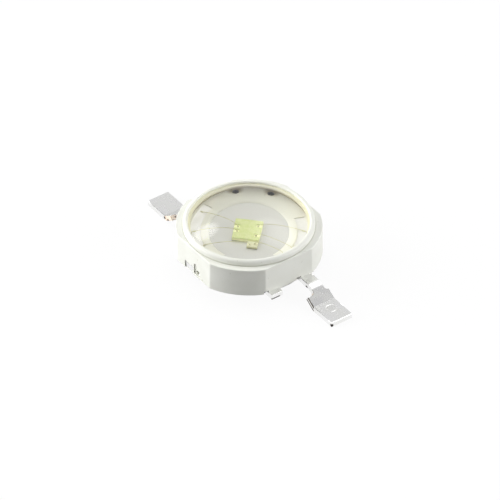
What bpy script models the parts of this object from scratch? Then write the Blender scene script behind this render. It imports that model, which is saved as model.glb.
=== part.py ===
"""High power LED: a white housing round a plated heat slug, two gull-wing leads and a low clear lens.

The board is the plane z = 0, +Z points out of the lens, and the leads run along X.
Lengths are in metres, written as millimetres times MM.
"""

import math

import bmesh
import bpy
from mathutils import Matrix, Vector

MM = 0.001

# Radii, from the middle outwards
SLUG_NECK_RADIUS = 1.90 * MM
NECK_CHAMFER = 0.18 * MM  # slope of plastic round the slug's neck
ARM_INSET = 0.17 * MM  # slope to the inner edge of the leads' arms
ARM_WIDTH = 0.70 * MM
ARM_COVER = 0.10 * MM  # outer edge of the arms to the wall of the cavity
LENS_LEDGE = 0.29 * MM  # ledge that carries the lens
RING_WALL = 0.27 * MM
RING_LEDGE = 0.39 * MM  # top face of the body outside the ring
END_CUT = 0.31 * MM  # how deep the flats that the leads leave through cut the round body
SIDE_CUT = 0.30 * MM
SKIRT_INSET = 0.60 * MM
SLUG_WALL = 0.65 * MM  # plastic of the skirt round the slug's base

# Levels of the housing
BOARD_CLEARANCE = 0.84 * MM  # board to the underside of the wall
WALL_HEIGHT = 1.71 * MM
RING_RISE = 0.33 * MM
LENS_DROP = 0.26 * MM  # top of the wall to the ledge that carries the lens
SKIRT_DEPTH = 0.38 * MM
WALL_DRAFT = 0.03 * MM  # the wall is this much further out at its foot
TOP_EDGE = 0.05 * MM  # rounding of the wall's upper edge
RING_OUTER_ROUND = 0.12 * MM
RING_INNER_ROUND = 0.07 * MM

# Details of the housing
WINDOW_LIP = 0.05 * MM  # plastic over the rim of each lead's arm
WINDOW_MARGIN = 0.07 * MM  # how far that plastic reaches over the arm
PIN_HOLE_RADIUS = 0.17 * MM  # four holes in the shelf, left by the mould's pins
PIN_HOLE_DEPTH = 0.28 * MM
PIN_HOLE_WALL = 0.10 * MM  # wall of the cavity to the hole
PIN_HOLE_ANGLES = (123, 157, 303, 337)
ROOT_NOTCH = 0.20 * MM  # small square notch in the wall beside each lead root

# Heat slug
SLUG_EDGE = 0.10 * MM
SLUG_FLANGE_COVER = 0.17 * MM  # the slug's flange to the underside of the wall
SLUG_TOP_DROP = 0.10 * MM  # shelf to the face that carries the dies

# Leads
LEAD_THICKNESS = 0.31 * MM
LEAD_SPAN = 14.44 * MM  # tip to tip
LEAD_LIFT = 0.10 * MM  # underside of the wall to the top of the lead
ARM_HEIGHT = 0.50 * MM  # underside of the wall to the top of the lead's inner arm
NECK_OFFSET = 1.11 * MM  # axis to the middle of the neck, sideways
NECK_WIDTH = 0.72 * MM
EAR_INNER = 0.44 * MM  # how much the foot is wider than the neck, on the side near the axis
EAR_OUTER = 0.22 * MM
NECK_REACH = 0.75 * MM  # flat to the first bend
INNER_BEND_RADIUS = 0.30 * MM  # inside of each bend between the neck and the foot
SLOPE_ANGLE = math.radians(33)
EAR_SETBACK = 0.62 * MM  # first bend to where the lead widens, along the lead
EAR_ROUND = 0.20 * MM
ARM_START = math.radians(9)
ARM_END = math.radians(80)
STEP_INNER_RADIUS = 0.04 * MM  # inside of each bend between the arm and the neck
STEP_ANGLE = math.radians(45)
STEP_SETBACK = 0.03 * MM

# Cut bars of the lead frame
TAB_WIDTH = 0.73 * MM
TAB_OFFSET = 1.03 * MM
TAB_REACH = 0.38 * MM  # how far the cut end stands out of the wall
TAB_WALL = 0.06 * MM  # plastic between the slug's base and the tab's inner end
TIE_WIDTH = 0.74 * MM
TIE_OFFSET = 0.40 * MM
TIE_WALL = 0.15 * MM  # plastic between the cavity and the tie bar's inner end
TIE_LIFT = 0.09 * MM  # underside of the wall to the underside of the tie bar
ANCHOR_HEAD = 0.18 * MM  # length of the wider end that the plastic grips
ANCHOR_OVERHANG = 0.11 * MM
POCKET_DEPTH = 0.06 * MM  # shallow pocket round a tie bar's cut end
POCKET_MARGIN = 0.04 * MM
POCKET_HEIGHT = 0.50 * MM
RECESS_WIDTH = 0.54 * MM  # shallow recess beside it
RECESS_BOTTOM = 0.14 * MM
RECESS_HEIGHT = 0.66 * MM
RECESS_BORE_RADIUS = 0.13 * MM
RECESS_BORE_DEPTH = 0.35 * MM

# Die and diode, in a frame turned by 45 degrees to the leads
DIE_TURN = math.radians(45)
DIE_SIDE = 1.30 * MM
DIE_HEIGHT = 0.14 * MM
DIE_PLACE = (-0.07 * MM, -0.03 * MM)
SOLDER_HEIGHT = 0.02 * MM
SOLDER_MARGIN = 0.02 * MM
COAT_HEIGHT = 0.05 * MM
COAT_OPENING = 0.20 * MM  # side of the square that the coat leaves bare at each bond
BOND_INSET = 0.18 * MM  # edge of the die to the middle of a bond
LEFT_BOND_SPREAD = 0.15 * MM  # middle of the die to its bonds, along the edge
RIGHT_BOND_SPREAD = 0.32 * MM
DIODE_WIDTH = 0.50 * MM
DIODE_LENGTH = 0.36 * MM
DIODE_HEIGHT = 0.11 * MM
DIODE_SHIFT = 0.38 * MM  # middle of the die to the middle of the diode, sideways
DIODE_DISTANCE = 0.06 * MM  # edge of the die to the diode
DIODE_BOND = (0.11 * MM, 0.04 * MM)

# Bond wires
WIRE_RADIUS = 0.016 * MM
BALL_RADIUS = 0.042 * MM
BALL_HEIGHT = 0.028 * MM
LOOP_HEIGHT = 0.30 * MM
OUTER_LANDING_SHARE = 0.57  # how far across the arm a wire lands
INNER_LANDING_SHARE = 0.28
LANDING_RADIUS = 0.07 * MM

# Lens and gel
LENS_RIM_HEIGHT = 0.52 * MM
LENS_RISE = 0.84 * MM
LENS_EDGE = 0.03 * MM
LENS_FOOT = 0.62 * MM  # flat rim under the lens, round its hollow
HOLLOW_RISE = 0.45 * MM

# Clearances
MOULD_GAP = 0.008 * MM
LENS_GAP = 0.020 * MM
SEAT_GAP = 0.004 * MM
GEL_GAP = 0.006 * MM

# Facets
ROUND_STEPS = 72
DOME_STEPS = 9
HOLLOW_STEPS = 6
CORNER_STEPS = 4
BEND_STEPS = 5
WIRE_POINTS = 11

# What follows from the sizes above
ARM_INNER_RADIUS = SLUG_NECK_RADIUS + NECK_CHAMFER + ARM_INSET
ARM_OUTER_RADIUS = ARM_INNER_RADIUS + ARM_WIDTH
CAVITY_RADIUS = ARM_OUTER_RADIUS + ARM_COVER
RING_BORE_RADIUS = CAVITY_RADIUS + LENS_LEDGE
RING_RADIUS = RING_BORE_RADIUS + RING_WALL
BODY_RADIUS = RING_RADIUS + RING_LEDGE
END_FLAT = BODY_RADIUS - END_CUT
SIDE_FLAT = BODY_RADIUS - SIDE_CUT
SKIRT_RADIUS = BODY_RADIUS - SKIRT_INSET
SLUG_BASE_RADIUS = SKIRT_RADIUS - SLUG_WALL
PIN_HOLE_CIRCLE = CAVITY_RADIUS - PIN_HOLE_WALL - PIN_HOLE_RADIUS
LENS_RADIUS = RING_BORE_RADIUS - LENS_GAP
HOLLOW_RADIUS = LENS_RADIUS - LENS_FOOT
WALL_BOTTOM = BOARD_CLEARANCE
WALL_TOP = WALL_BOTTOM + WALL_HEIGHT
RING_TOP = WALL_TOP + RING_RISE
SKIRT_BOTTOM = WALL_BOTTOM - SKIRT_DEPTH
LENS_SEAT = WALL_TOP - LENS_DROP
LENS_BOTTOM = LENS_SEAT + SEAT_GAP
NECK_TOP = WALL_BOTTOM + LEAD_LIFT
ARM_TOP = WALL_BOTTOM + ARM_HEIGHT
SHELF = ARM_TOP + WINDOW_LIP
SLUG_TOP = SHELF - SLUG_TOP_DROP
SLUG_FLANGE = WALL_BOTTOM - SLUG_FLANGE_COVER
BEND_RADIUS = INNER_BEND_RADIUS + LEAD_THICKNESS / 2
STEP_BEND_RADIUS = STEP_INNER_RADIUS + LEAD_THICKNESS / 2
DIE_BOTTOM = SLUG_TOP + SOLDER_HEIGHT + 2 * SEAT_GAP
DIE_TOP = DIE_BOTTOM + DIE_HEIGHT
DIODE_TOP = DIE_BOTTOM + DIODE_HEIGHT
COAT_BOTTOM = DIE_TOP + SEAT_GAP
COAT_TOP = COAT_BOTTOM + COAT_HEIGHT
DIODE_PLACE = (
    DIE_PLACE[0] + DIODE_SHIFT,
    DIE_PLACE[1] - DIE_SIDE / 2 - DIODE_DISTANCE - DIODE_LENGTH / 2,
)


def clear_scene():
    for obj in list(bpy.data.objects):
        bpy.data.objects.remove(obj)


def new_collection(name, hidden):
    collection = bpy.data.collections.new(name)
    bpy.context.scene.collection.children.link(collection)
    collection.hide_render = hidden
    return collection


def new_material(name, color, roughness, metallic=0.0, alpha=1.0):
    material = bpy.data.materials.new(name)
    material.use_nodes = True
    shader = material.node_tree.nodes["Principled BSDF"]
    shader.inputs["Base Color"].default_value = (*color, 1.0)
    shader.inputs["Roughness"].default_value = roughness
    shader.inputs["Metallic"].default_value = metallic
    shader.inputs["Alpha"].default_value = alpha
    material.diffuse_color = (*color, alpha)
    return material


def add_object(name, data, collection, material=None, parent=None):
    obj = bpy.data.objects.new(name, data)
    collection.objects.link(obj)
    if material:
        data.materials.append(material)
    if parent:
        obj.parent = parent
    if collection.hide_render:
        obj.hide_render = True
        obj.display_type = "WIRE"
    return obj


def arc_points(centre, radius, start, end, steps):
    """Points along an arc, both ends included; angles are in radians."""
    points = []
    for i in range(steps + 1):
        angle = start + (end - start) * i / steps
        points.append((centre[0] + radius * math.cos(angle), centre[1] + radius * math.sin(angle)))
    return points


def cap_points(rim_radius, rim_level, rise, steps):
    """Profile of a spherical cap, from its top on the axis to its rim."""
    sphere = (rim_radius**2 + rise**2) / (2 * rise)
    centre = rim_level + rise - sphere
    half = math.asin(rim_radius / sphere)
    turns = [half * i / steps for i in range(steps + 1)]
    return [(sphere * math.sin(turn), centre + sphere * math.cos(turn)) for turn in turns]


def turned(name, profile, collection, material=None, steps=ROUND_STEPS):
    """A turned solid. The profile holds (radius, height) pairs from the top of the axis to its bottom."""
    mesh = bpy.data.meshes.new(name)
    points = [(radius, 0, height) for radius, height in profile]
    edges = [(i, i + 1) for i in range(len(points) - 1)]
    mesh.from_pydata(points, edges, [])
    obj = add_object(name, mesh, collection, material)
    screw = obj.modifiers.new("turn", "SCREW")
    screw.steps = steps
    screw.render_steps = steps
    screw.use_merge_vertices = True
    screw.merge_threshold = 1e-7
    screw.use_smooth_shade = True
    return obj


def plate_mesh(name, outline, bottom, top):
    """A flat plate as a mesh: a closed 2D curve with half its thickness as extrude, welded."""
    curve = bpy.data.curves.new(name, "CURVE")
    curve.dimensions = "2D"
    curve.fill_mode = "BOTH"
    curve.extrude = (top - bottom) / 2
    spline = curve.splines.new("POLY")
    spline.points.add(len(outline) - 1)
    for point, (x, y) in zip(spline.points, outline):
        point.co = (x, y, 0, 1)
    spline.use_cyclic_u = True
    holder = bpy.data.objects.new(name, curve)
    bpy.context.scene.collection.objects.link(holder)
    bpy.context.view_layer.update()
    graph = bpy.context.evaluated_depsgraph_get()
    mesh = bpy.data.meshes.new_from_object(holder.evaluated_get(graph))
    bpy.data.objects.remove(holder)
    shape = bmesh.new()
    shape.from_mesh(mesh)
    bmesh.ops.remove_doubles(shape, verts=shape.verts, dist=1e-8)
    bmesh.ops.translate(shape, verts=shape.verts, vec=(0, 0, (top + bottom) / 2))
    bmesh.ops.recalc_face_normals(shape, faces=shape.faces)
    shape.to_mesh(mesh)
    shape.free()
    return mesh


def box(name, size, place, collection, material=None, parent=None):
    """A box whose place is the centre of its lower face."""
    mesh = bpy.data.meshes.new(name)
    shape = bmesh.new()
    bmesh.ops.create_cube(shape, size=1)
    bmesh.ops.scale(shape, verts=shape.verts, vec=size)
    bmesh.ops.translate(shape, verts=shape.verts, vec=(0, 0, size[2] / 2))
    shape.to_mesh(mesh)
    shape.free()
    obj = add_object(name, mesh, collection, material, parent)
    obj.location = place
    return obj


def cylinder(name, radius, bottom, top, place, collection, steps=20):
    mesh = bpy.data.meshes.new(name)
    shape = bmesh.new()
    bmesh.ops.create_cone(
        shape, cap_ends=True, segments=steps, radius1=radius, radius2=radius, depth=top - bottom
    )
    shape.to_mesh(mesh)
    shape.free()
    obj = add_object(name, mesh, collection)
    obj.location = (place[0], place[1], (top + bottom) / 2)
    return obj


def combine(obj, other, operation):
    modifier = obj.modifiers.new(other.name, "BOOLEAN")
    modifier.operation = operation
    modifier.object = other
    modifier.solver = "EXACT"


def turn_about_axis(obj, half_turns):
    obj.rotation_euler = (0, 0, math.pi * half_turns)


# Housing


def body_outline():
    """Circle cut by two end flats and two side flats."""
    end_corner = math.acos(END_FLAT / BODY_RADIUS)
    side_corner = math.acos(SIDE_FLAT / BODY_RADIUS)
    outline = []
    for quarter in range(4):
        first, last = (end_corner, side_corner) if quarter % 2 == 0 else (side_corner, end_corner)
        start, end = quarter * math.pi / 2 + first, (quarter + 1) * math.pi / 2 - last
        outline += arc_points((0, 0), BODY_RADIUS, start, end, 9)
    return outline


def body_mesh():
    mesh = plate_mesh("housing", body_outline(), WALL_BOTTOM, WALL_TOP)
    shape = bmesh.new()
    shape.from_mesh(mesh)
    on_top = WALL_TOP - TOP_EDGE / 2
    foot = [vert for vert in shape.verts if vert.co.z < on_top]
    spread = 1 + WALL_DRAFT / BODY_RADIUS
    bmesh.ops.scale(shape, verts=foot, vec=(spread, spread, 1))
    rim = [
        edge
        for edge in shape.edges
        if all(vert.co.z > on_top for vert in edge.verts) and abs(edge.calc_face_angle(0)) > 1
    ]
    bmesh.ops.bevel(
        shape, geom=rim, offset=TOP_EDGE, affect="EDGES", segments=2, profile=0.5, material=-1
    )
    shape.to_mesh(mesh)
    shape.free()
    return mesh


def ring_profile():
    root = WALL_TOP - RING_RISE / 2
    rounding = arc_points(
        (RING_RADIUS - RING_OUTER_ROUND, RING_TOP - RING_OUTER_ROUND),
        RING_OUTER_ROUND,
        math.pi / 2,
        0,
        CORNER_STEPS,
    )
    return [(0, RING_TOP), *rounding, (RING_RADIUS, root), (0, root)]


def cavity_profile():
    """The hollow from the ring's mouth down to the slug's pocket, as one turned cutter."""
    mouth = RING_BORE_RADIUS + RING_INNER_ROUND
    inner_round = arc_points(
        (mouth, RING_TOP - RING_INNER_ROUND),
        RING_INNER_ROUND,
        math.pi / 2,
        math.pi,
        CORNER_STEPS,
    )
    neck = SLUG_NECK_RADIUS + MOULD_GAP
    base = SLUG_BASE_RADIUS + MOULD_GAP
    flange = SLUG_FLANGE + MOULD_GAP
    above = RING_TOP + RING_RISE
    below = SKIRT_BOTTOM - SKIRT_DEPTH
    return [
        (0, above),
        (mouth, above),
        *inner_round,
        (RING_BORE_RADIUS, LENS_SEAT),
        (CAVITY_RADIUS, LENS_SEAT),
        (CAVITY_RADIUS, SHELF),
        (neck + NECK_CHAMFER, SHELF),
        (neck, SLUG_TOP),
        (neck, flange),
        (base, flange),
        (base, below),
        (0, below),
    ]


def make_housing(parts, cutters, material):
    housing = add_object("housing", body_mesh(), parts, material)
    ring = turned("ring_form", ring_profile(), cutters)
    combine(housing, ring, "UNION")
    skirt_top = WALL_BOTTOM + LEAD_THICKNESS / 2
    skirt = cylinder(
        "skirt_form", SKIRT_RADIUS, SKIRT_BOTTOM, skirt_top, (0, 0), cutters, ROUND_STEPS
    )
    combine(housing, skirt, "UNION")
    combine(housing, turned("cavity_cut", cavity_profile(), cutters), "DIFFERENCE")
    return housing


def cut_pin_holes(housing, cutters):
    for number, degrees in enumerate(PIN_HOLE_ANGLES, start=1):
        angle = math.radians(degrees)
        place = (PIN_HOLE_CIRCLE * math.cos(angle), PIN_HOLE_CIRCLE * math.sin(angle))
        bottom = SHELF - PIN_HOLE_DEPTH
        hole = cylinder(
            f"pin_hole_{number}", PIN_HOLE_RADIUS, bottom, SHELF + PIN_HOLE_DEPTH, place, cutters, 16
        )
        combine(housing, hole, "DIFFERENCE")


def cut_root_notches(housing, cutters):
    """A square notch in the wall's lower edge on one side of each lead root and each cut tab."""
    lead_side = NECK_OFFSET - NECK_WIDTH / 2 - ROOT_NOTCH / 2
    tab_side = -TAB_OFFSET - TAB_WIDTH / 2 - ROOT_NOTCH / 2
    for end in (0, 1):
        for kind, side in (("lead", lead_side), ("tab", tab_side)):
            place = Vector((END_FLAT, side, WALL_BOTTOM - ROOT_NOTCH))
            place.rotate(Matrix.Rotation(math.pi * end, 3, "Z"))
            size = (ROOT_NOTCH, ROOT_NOTCH, 2 * ROOT_NOTCH)
            notch = box(f"{kind}_notch_{end + 1}", size, place, cutters)
            combine(housing, notch, "DIFFERENCE")


# Heat slug


def make_slug(parts, material):
    profile = [
        (0, SLUG_TOP),
        (SLUG_NECK_RADIUS, SLUG_TOP),
        (SLUG_NECK_RADIUS, SLUG_FLANGE),
        (SLUG_BASE_RADIUS, SLUG_FLANGE),
        (SLUG_BASE_RADIUS, SLUG_EDGE),
        (SLUG_BASE_RADIUS - SLUG_EDGE, 0),
        (0, 0),
    ]
    return turned("heat_slug", profile, parts, material)


# Leads


def bend_run(drop, radius, angle):
    """Length of the straight between two equal and opposite bends that make this drop."""
    return (drop - 2 * radius * (1 - math.cos(angle))) / math.sin(angle)


def lead_path():
    """Middle line of the lead from its flat arm to its foot, as (length, turn) pieces."""
    neck_middle = NECK_TOP - LEAD_THICKNESS / 2
    arm_middle = ARM_TOP - LEAD_THICKNESS / 2
    foot_middle = LEAD_THICKNESS / 2
    step_start = ARM_OUTER_RADIUS + STEP_SETBACK
    step_run = bend_run(arm_middle - neck_middle, STEP_BEND_RADIUS, STEP_ANGLE)
    step_length = 2 * STEP_BEND_RADIUS * math.sin(STEP_ANGLE) + step_run * math.cos(STEP_ANGLE)
    slope_run = bend_run(neck_middle - foot_middle, BEND_RADIUS, SLOPE_ANGLE)
    slope_length = 2 * BEND_RADIUS * math.sin(SLOPE_ANGLE) + slope_run * math.cos(SLOPE_ANGLE)
    neck_run = END_FLAT + NECK_REACH - step_start - step_length
    foot_run = LEAD_SPAN / 2 - END_FLAT - NECK_REACH - slope_length
    return [
        (step_start, 0),
        (STEP_BEND_RADIUS * STEP_ANGLE, -STEP_ANGLE),
        (step_run, 0),
        (STEP_BEND_RADIUS * STEP_ANGLE, STEP_ANGLE),
        (neck_run, 0),
        (BEND_RADIUS * SLOPE_ANGLE, -SLOPE_ANGLE),
        (slope_run, 0),
        (BEND_RADIUS * SLOPE_ANGLE, SLOPE_ANGLE),
        (foot_run, 0),
    ]


def path_breaks(path):
    """Distances along the path where a bend starts, turns or ends."""
    breaks = []
    distance = 0
    for length, turn in path:
        if turn:
            breaks += [distance + length * i / BEND_STEPS for i in range(BEND_STEPS + 1)]
        distance += length
    return breaks


def on_path(path, distance):
    """Place (x, z) and direction of the path at this distance from the axis."""
    x, z, direction = 0.0, ARM_TOP - LEAD_THICKNESS / 2, 0.0
    for index, (length, turn) in enumerate(path):
        last = index == len(path) - 1
        share = 1.0 if distance > length and not last else distance / length
        if turn:
            angle = turn * share
            radius = length / turn
            x += radius * (math.sin(direction + angle) - math.sin(direction))
            z += radius * (math.cos(direction) - math.cos(direction + angle))
            direction += angle
        else:
            x += length * share * math.cos(direction)
            z += length * share * math.sin(direction)
        if share < 1.0 or last:
            break
        distance -= length
    return x, z, direction


def arm_outline(grow):
    """The arm's arc, from its free end round the inside to where the neck leaves, then the far end."""
    inner, outer = ARM_INNER_RADIUS - grow, ARM_OUTER_RADIUS + grow
    low, high = NECK_OFFSET - NECK_WIDTH / 2 - grow, NECK_OFFSET + NECK_WIDTH / 2 + grow
    inside = arc_points(
        (0, 0), inner, ARM_END + math.asin(grow / inner), ARM_START - math.asin(grow / inner), 12
    )
    before = arc_points(
        (0, 0), outer, ARM_START - math.asin(grow / outer), math.asin(low / outer), 1
    )
    after = arc_points(
        (0, 0), outer, math.asin(high / outer), ARM_END + math.asin(grow / outer), 9
    )
    return after + inside + before


def ear(distance, neck_edge, width, side):
    """Concave fillet where the neck widens to the foot; side is -1 on its lower edge and 1 on the upper."""
    fillet = min(EAR_ROUND, width)
    centre = (distance - fillet, neck_edge + side * fillet)
    return arc_points(centre, fillet, -side * math.pi / 2, 0, CORNER_STEPS)


def lead_outline(path):
    """Flat pattern of the lead before it is bent."""
    length = sum(run for run, turn in path)
    distance = sum(run for run, turn in path[:5]) + EAR_SETBACK
    neck_low, neck_high = NECK_OFFSET - NECK_WIDTH / 2, NECK_OFFSET + NECK_WIDTH / 2
    foot_low, foot_high = neck_low - EAR_INNER, neck_high + EAR_OUTER
    foot = [(distance, foot_low), (length, foot_low), (length, foot_high), (distance, foot_high)]
    near = ear(distance, neck_low, EAR_INNER, -1)
    far = ear(distance, neck_high, EAR_OUTER, 1)
    return [*arm_outline(0), *near, *foot, *reversed(far)]


def slot_outline(path):
    """The buried part of the lead, grown by the moulding gap and run out through the wall."""
    outside = sum(run for run, turn in path[:5]) - NECK_REACH / 2
    low = NECK_OFFSET - NECK_WIDTH / 2 - MOULD_GAP
    high = NECK_OFFSET + NECK_WIDTH / 2 + MOULD_GAP
    return [*arm_outline(MOULD_GAP), (outside, low), (outside, high)]


def bent_plate(name, outline, path, thickness):
    """Cuts the flat pattern across at each bend, then lays it along the path."""
    mesh = plate_mesh(name, outline, -thickness / 2, thickness / 2)
    shape = bmesh.new()
    shape.from_mesh(mesh)
    longest = max(x for x, y in outline)
    for distance in path_breaks(path):
        if distance < longest:
            geometry = [*shape.verts, *shape.edges, *shape.faces]
            bmesh.ops.bisect_plane(
                shape, geom=geometry, dist=1e-8, plane_co=(distance, 0, 0), plane_no=(1, 0, 0)
            )
    for vert in shape.verts:
        if vert.co.x > path[0][0]:
            x, z, direction = on_path(path, vert.co.x)
            height = vert.co.z
            vert.co.x = x - height * math.sin(direction)
            vert.co.z = z + height * math.cos(direction)
        else:
            vert.co.z += ARM_TOP - LEAD_THICKNESS / 2
    shape.to_mesh(mesh)
    shape.free()
    return mesh


def window_outline(grow):
    """Arc in which the plastic leaves the top of the arm bare."""
    margin = WINDOW_MARGIN - grow
    inner, outer = ARM_INNER_RADIUS + margin, ARM_OUTER_RADIUS - margin
    start, end = ARM_START + margin / inner, ARM_END - margin / inner
    return arc_points((0, 0), outer, start, end, 9) + arc_points((0, 0), inner, end, start, 9)


def make_leads(housing, parts, cutters, material):
    path = lead_path()
    window_top = SHELF + WINDOW_LIP
    for half_turns, name in ((0, "lead_right"), (1, "lead_left")):
        mesh = bent_plate(name, lead_outline(path), path, LEAD_THICKNESS)
        lead = add_object(name, mesh, parts, material)
        turn_about_axis(lead, half_turns)
        slot_mesh = bent_plate(
            f"{name}_slot", slot_outline(path), path, LEAD_THICKNESS + 2 * MOULD_GAP
        )
        slot = add_object(f"{name}_slot", slot_mesh, cutters)
        window_mesh = plate_mesh(f"{name}_window", window_outline(0), ARM_TOP, window_top)
        window = add_object(f"{name}_window", window_mesh, cutters)
        for cutter in (slot, window):
            turn_about_axis(cutter, half_turns)
            combine(housing, cutter, "DIFFERENCE")


def anchor_outline(back, tip, width, middle, grow):
    """T-shaped bar: its head at the back is buried in the plastic, and its tip is cut off outside."""
    low, high = middle - width / 2 - grow, middle + width / 2 + grow
    head_low, head_high = low - ANCHOR_OVERHANG, high + ANCHOR_OVERHANG
    neck = back + ANCHOR_HEAD + grow
    return [
        (back - grow, head_low),
        (neck, head_low),
        (neck, low),
        (tip, low),
        (tip, high),
        (neck, high),
        (neck, head_high),
        (back - grow, head_high),
    ]


def make_anchor(name, bar, top, turn, housing, parts, cutters, material):
    """One cut bar of the lead frame, given as back, tip, width and middle, and its slot in the housing."""
    back, tip, width, middle = bar
    bottom = top - LEAD_THICKNESS
    outline = anchor_outline(back, tip, width, middle, 0)
    anchor = add_object(name, plate_mesh(name, outline, bottom, top), parts, material)
    slot_points = anchor_outline(back, BODY_RADIUS + WALL_DRAFT, width, middle, MOULD_GAP)
    slot_mesh = plate_mesh(f"{name}_slot", slot_points, bottom - MOULD_GAP, top + MOULD_GAP)
    slot = add_object(f"{name}_slot", slot_mesh, cutters)
    anchor.rotation_euler = (0, 0, turn)
    slot.rotation_euler = (0, 0, turn)
    combine(housing, slot, "DIFFERENCE")


def make_frame_bars(housing, parts, cutters, material):
    tab = (SLUG_BASE_RADIUS + TAB_WALL, END_FLAT + TAB_REACH, TAB_WIDTH, -TAB_OFFSET)
    tie = (CAVITY_RADIUS + TIE_WALL, SIDE_FLAT - POCKET_DEPTH / 2, TIE_WIDTH, -TIE_OFFSET)
    tie_top = WALL_BOTTOM + TIE_LIFT + LEAD_THICKNESS
    quarter = math.pi / 2
    bars = (
        ("end_tab_right", tab, NECK_TOP, 0),
        ("tie_bar_rear", tie, tie_top, quarter),
        ("end_tab_left", tab, NECK_TOP, 2 * quarter),
        ("tie_bar_front", tie, tie_top, 3 * quarter),
    )
    for name, bar, top, turn in bars:
        make_anchor(name, bar, top, turn, housing, parts, cutters, material)


def cut_tie_pockets(housing, cutters):
    """In each side flat: a shallow pocket round the tie bar's end, and a recess with a bore beside it."""
    wall_foot = SIDE_FLAT + WALL_DRAFT
    pocket_width = TIE_WIDTH + 2 * POCKET_MARGIN
    recess_start = pocket_width / 2 - TIE_OFFSET + POCKET_MARGIN
    recess_middle = recess_start + RECESS_WIDTH / 2
    outward = SIDE_FLAT - POCKET_DEPTH + (WALL_DRAFT + 2 * POCKET_DEPTH) / 2
    depth = WALL_DRAFT + 2 * POCKET_DEPTH
    for side, turn in (("rear", math.pi / 2), ("front", -math.pi / 2)):
        about_axis = Matrix.Rotation(turn, 3, "Z")
        pocket_place = about_axis @ Vector((outward, -TIE_OFFSET, WALL_BOTTOM - POCKET_HEIGHT))
        pocket_size = (depth, pocket_width, 2 * POCKET_HEIGHT)
        pocket = box(f"tie_pocket_{side}", pocket_size, pocket_place, cutters)
        recess_place = about_axis @ Vector((outward, recess_middle, WALL_BOTTOM + RECESS_BOTTOM))
        recess_size = (depth, RECESS_WIDTH, RECESS_HEIGHT)
        recess = box(f"side_recess_{side}", recess_size, recess_place, cutters)
        bore_level = WALL_BOTTOM + RECESS_BOTTOM + RECESS_BORE_RADIUS
        bore = cylinder(
            f"recess_bore_{side}", RECESS_BORE_RADIUS, -RECESS_BORE_DEPTH, wall_foot, (0, 0), cutters, 14
        )
        middle = SIDE_FLAT - RECESS_BORE_DEPTH / 2
        bore.location = about_axis @ Vector((middle, recess_middle, bore_level))
        bore.rotation_euler = (0, math.pi / 2, turn)
        pocket.rotation_euler = (0, 0, turn)
        recess.rotation_euler = (0, 0, turn)
        for cutter in (pocket, recess, bore):
            combine(housing, cutter, "DIFFERENCE")


# Die and diode


def die_bonds():
    """Middles of the die's bonds in the turned frame, two along its left and two along its right edge."""
    x, y = DIE_PLACE
    side = DIE_SIDE / 2 - BOND_INSET
    return [
        Vector((x - side, y + LEFT_BOND_SPREAD)),
        Vector((x - side, y - LEFT_BOND_SPREAD)),
        Vector((x + side, y + RIGHT_BOND_SPREAD)),
        Vector((x + side, y - RIGHT_BOND_SPREAD)),
    ]


def coat_outline():
    """The die's square with a notch at each bond, which leaves the bond bare."""
    half = DIE_SIDE / 2
    opening = COAT_OPENING / 2
    depth = half - BOND_INSET - opening
    outline = []
    for side, spread in ((1, RIGHT_BOND_SPREAD), (-1, LEFT_BOND_SPREAD)):
        outline.append((side * half, -side * half))
        for middle in (-side * spread, side * spread):
            near, far = middle - side * opening, middle + side * opening
            outline += [(side * half, near), (side * depth, near), (side * depth, far), (side * half, far)]
        outline.append((side * half, side * half))
    return outline


def make_die(parts, materials, frame):
    solder_side = DIE_SIDE + 2 * SOLDER_MARGIN
    solder_size = (solder_side, solder_side, SOLDER_HEIGHT)
    solder_place = (*DIE_PLACE, SLUG_TOP + SEAT_GAP)
    box("die_solder", solder_size, solder_place, parts, materials["solder"], frame)
    die_size = (DIE_SIDE, DIE_SIDE, DIE_HEIGHT)
    box("led_die", die_size, (*DIE_PLACE, DIE_BOTTOM), parts, materials["die"], frame)
    coat_mesh = plate_mesh("phosphor_coat", coat_outline(), 0, COAT_HEIGHT)
    coat = add_object("phosphor_coat", coat_mesh, parts, materials["phosphor"], frame)
    coat.location = (*DIE_PLACE, COAT_BOTTOM)


def make_diode(parts, materials, frame):
    solder = (DIODE_WIDTH + 2 * SOLDER_MARGIN, DIODE_LENGTH + 2 * SOLDER_MARGIN, SOLDER_HEIGHT)
    solder_place = (*DIODE_PLACE, SLUG_TOP + SEAT_GAP)
    box("diode_solder", solder, solder_place, parts, materials["solder"], frame)
    diode = (DIODE_WIDTH, DIODE_LENGTH, DIODE_HEIGHT)
    diode_place = (*DIODE_PLACE, DIE_BOTTOM)
    box("protection_diode", diode, diode_place, parts, materials["diode"], frame)


# Bond wires


def on_arm(share, degrees):
    """Place on the bare top of a lead's arm, this share of the way across it."""
    angle = math.radians(degrees)
    radius = ARM_INNER_RADIUS + share * ARM_WIDTH
    return Vector((radius * math.cos(angle), radius * math.sin(angle), ARM_TOP))


def on_die(place, level):
    """Place on top of a die, given in the turned frame."""
    return Matrix.Rotation(DIE_TURN, 3, "Z") @ Vector((*place, level))


def wire_ends():
    """First bond and landing of each wire."""
    landings = [
        on_arm(OUTER_LANDING_SHARE, -159),
        on_arm(OUTER_LANDING_SHARE, -129),
        on_arm(OUTER_LANDING_SHARE, 58),
        on_arm(INNER_LANDING_SHARE, 28),
    ]
    ends = [(on_die(bond, DIE_TOP), landing) for bond, landing in zip(die_bonds(), landings)]
    for side, degrees in ((-1, -105), (1, 15)):
        bond = Vector(DIODE_PLACE) + side * Vector(DIODE_BOND)
        ends.append((on_die(bond, DIODE_TOP), on_arm(INNER_LANDING_SHARE, degrees)))
    return ends


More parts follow.
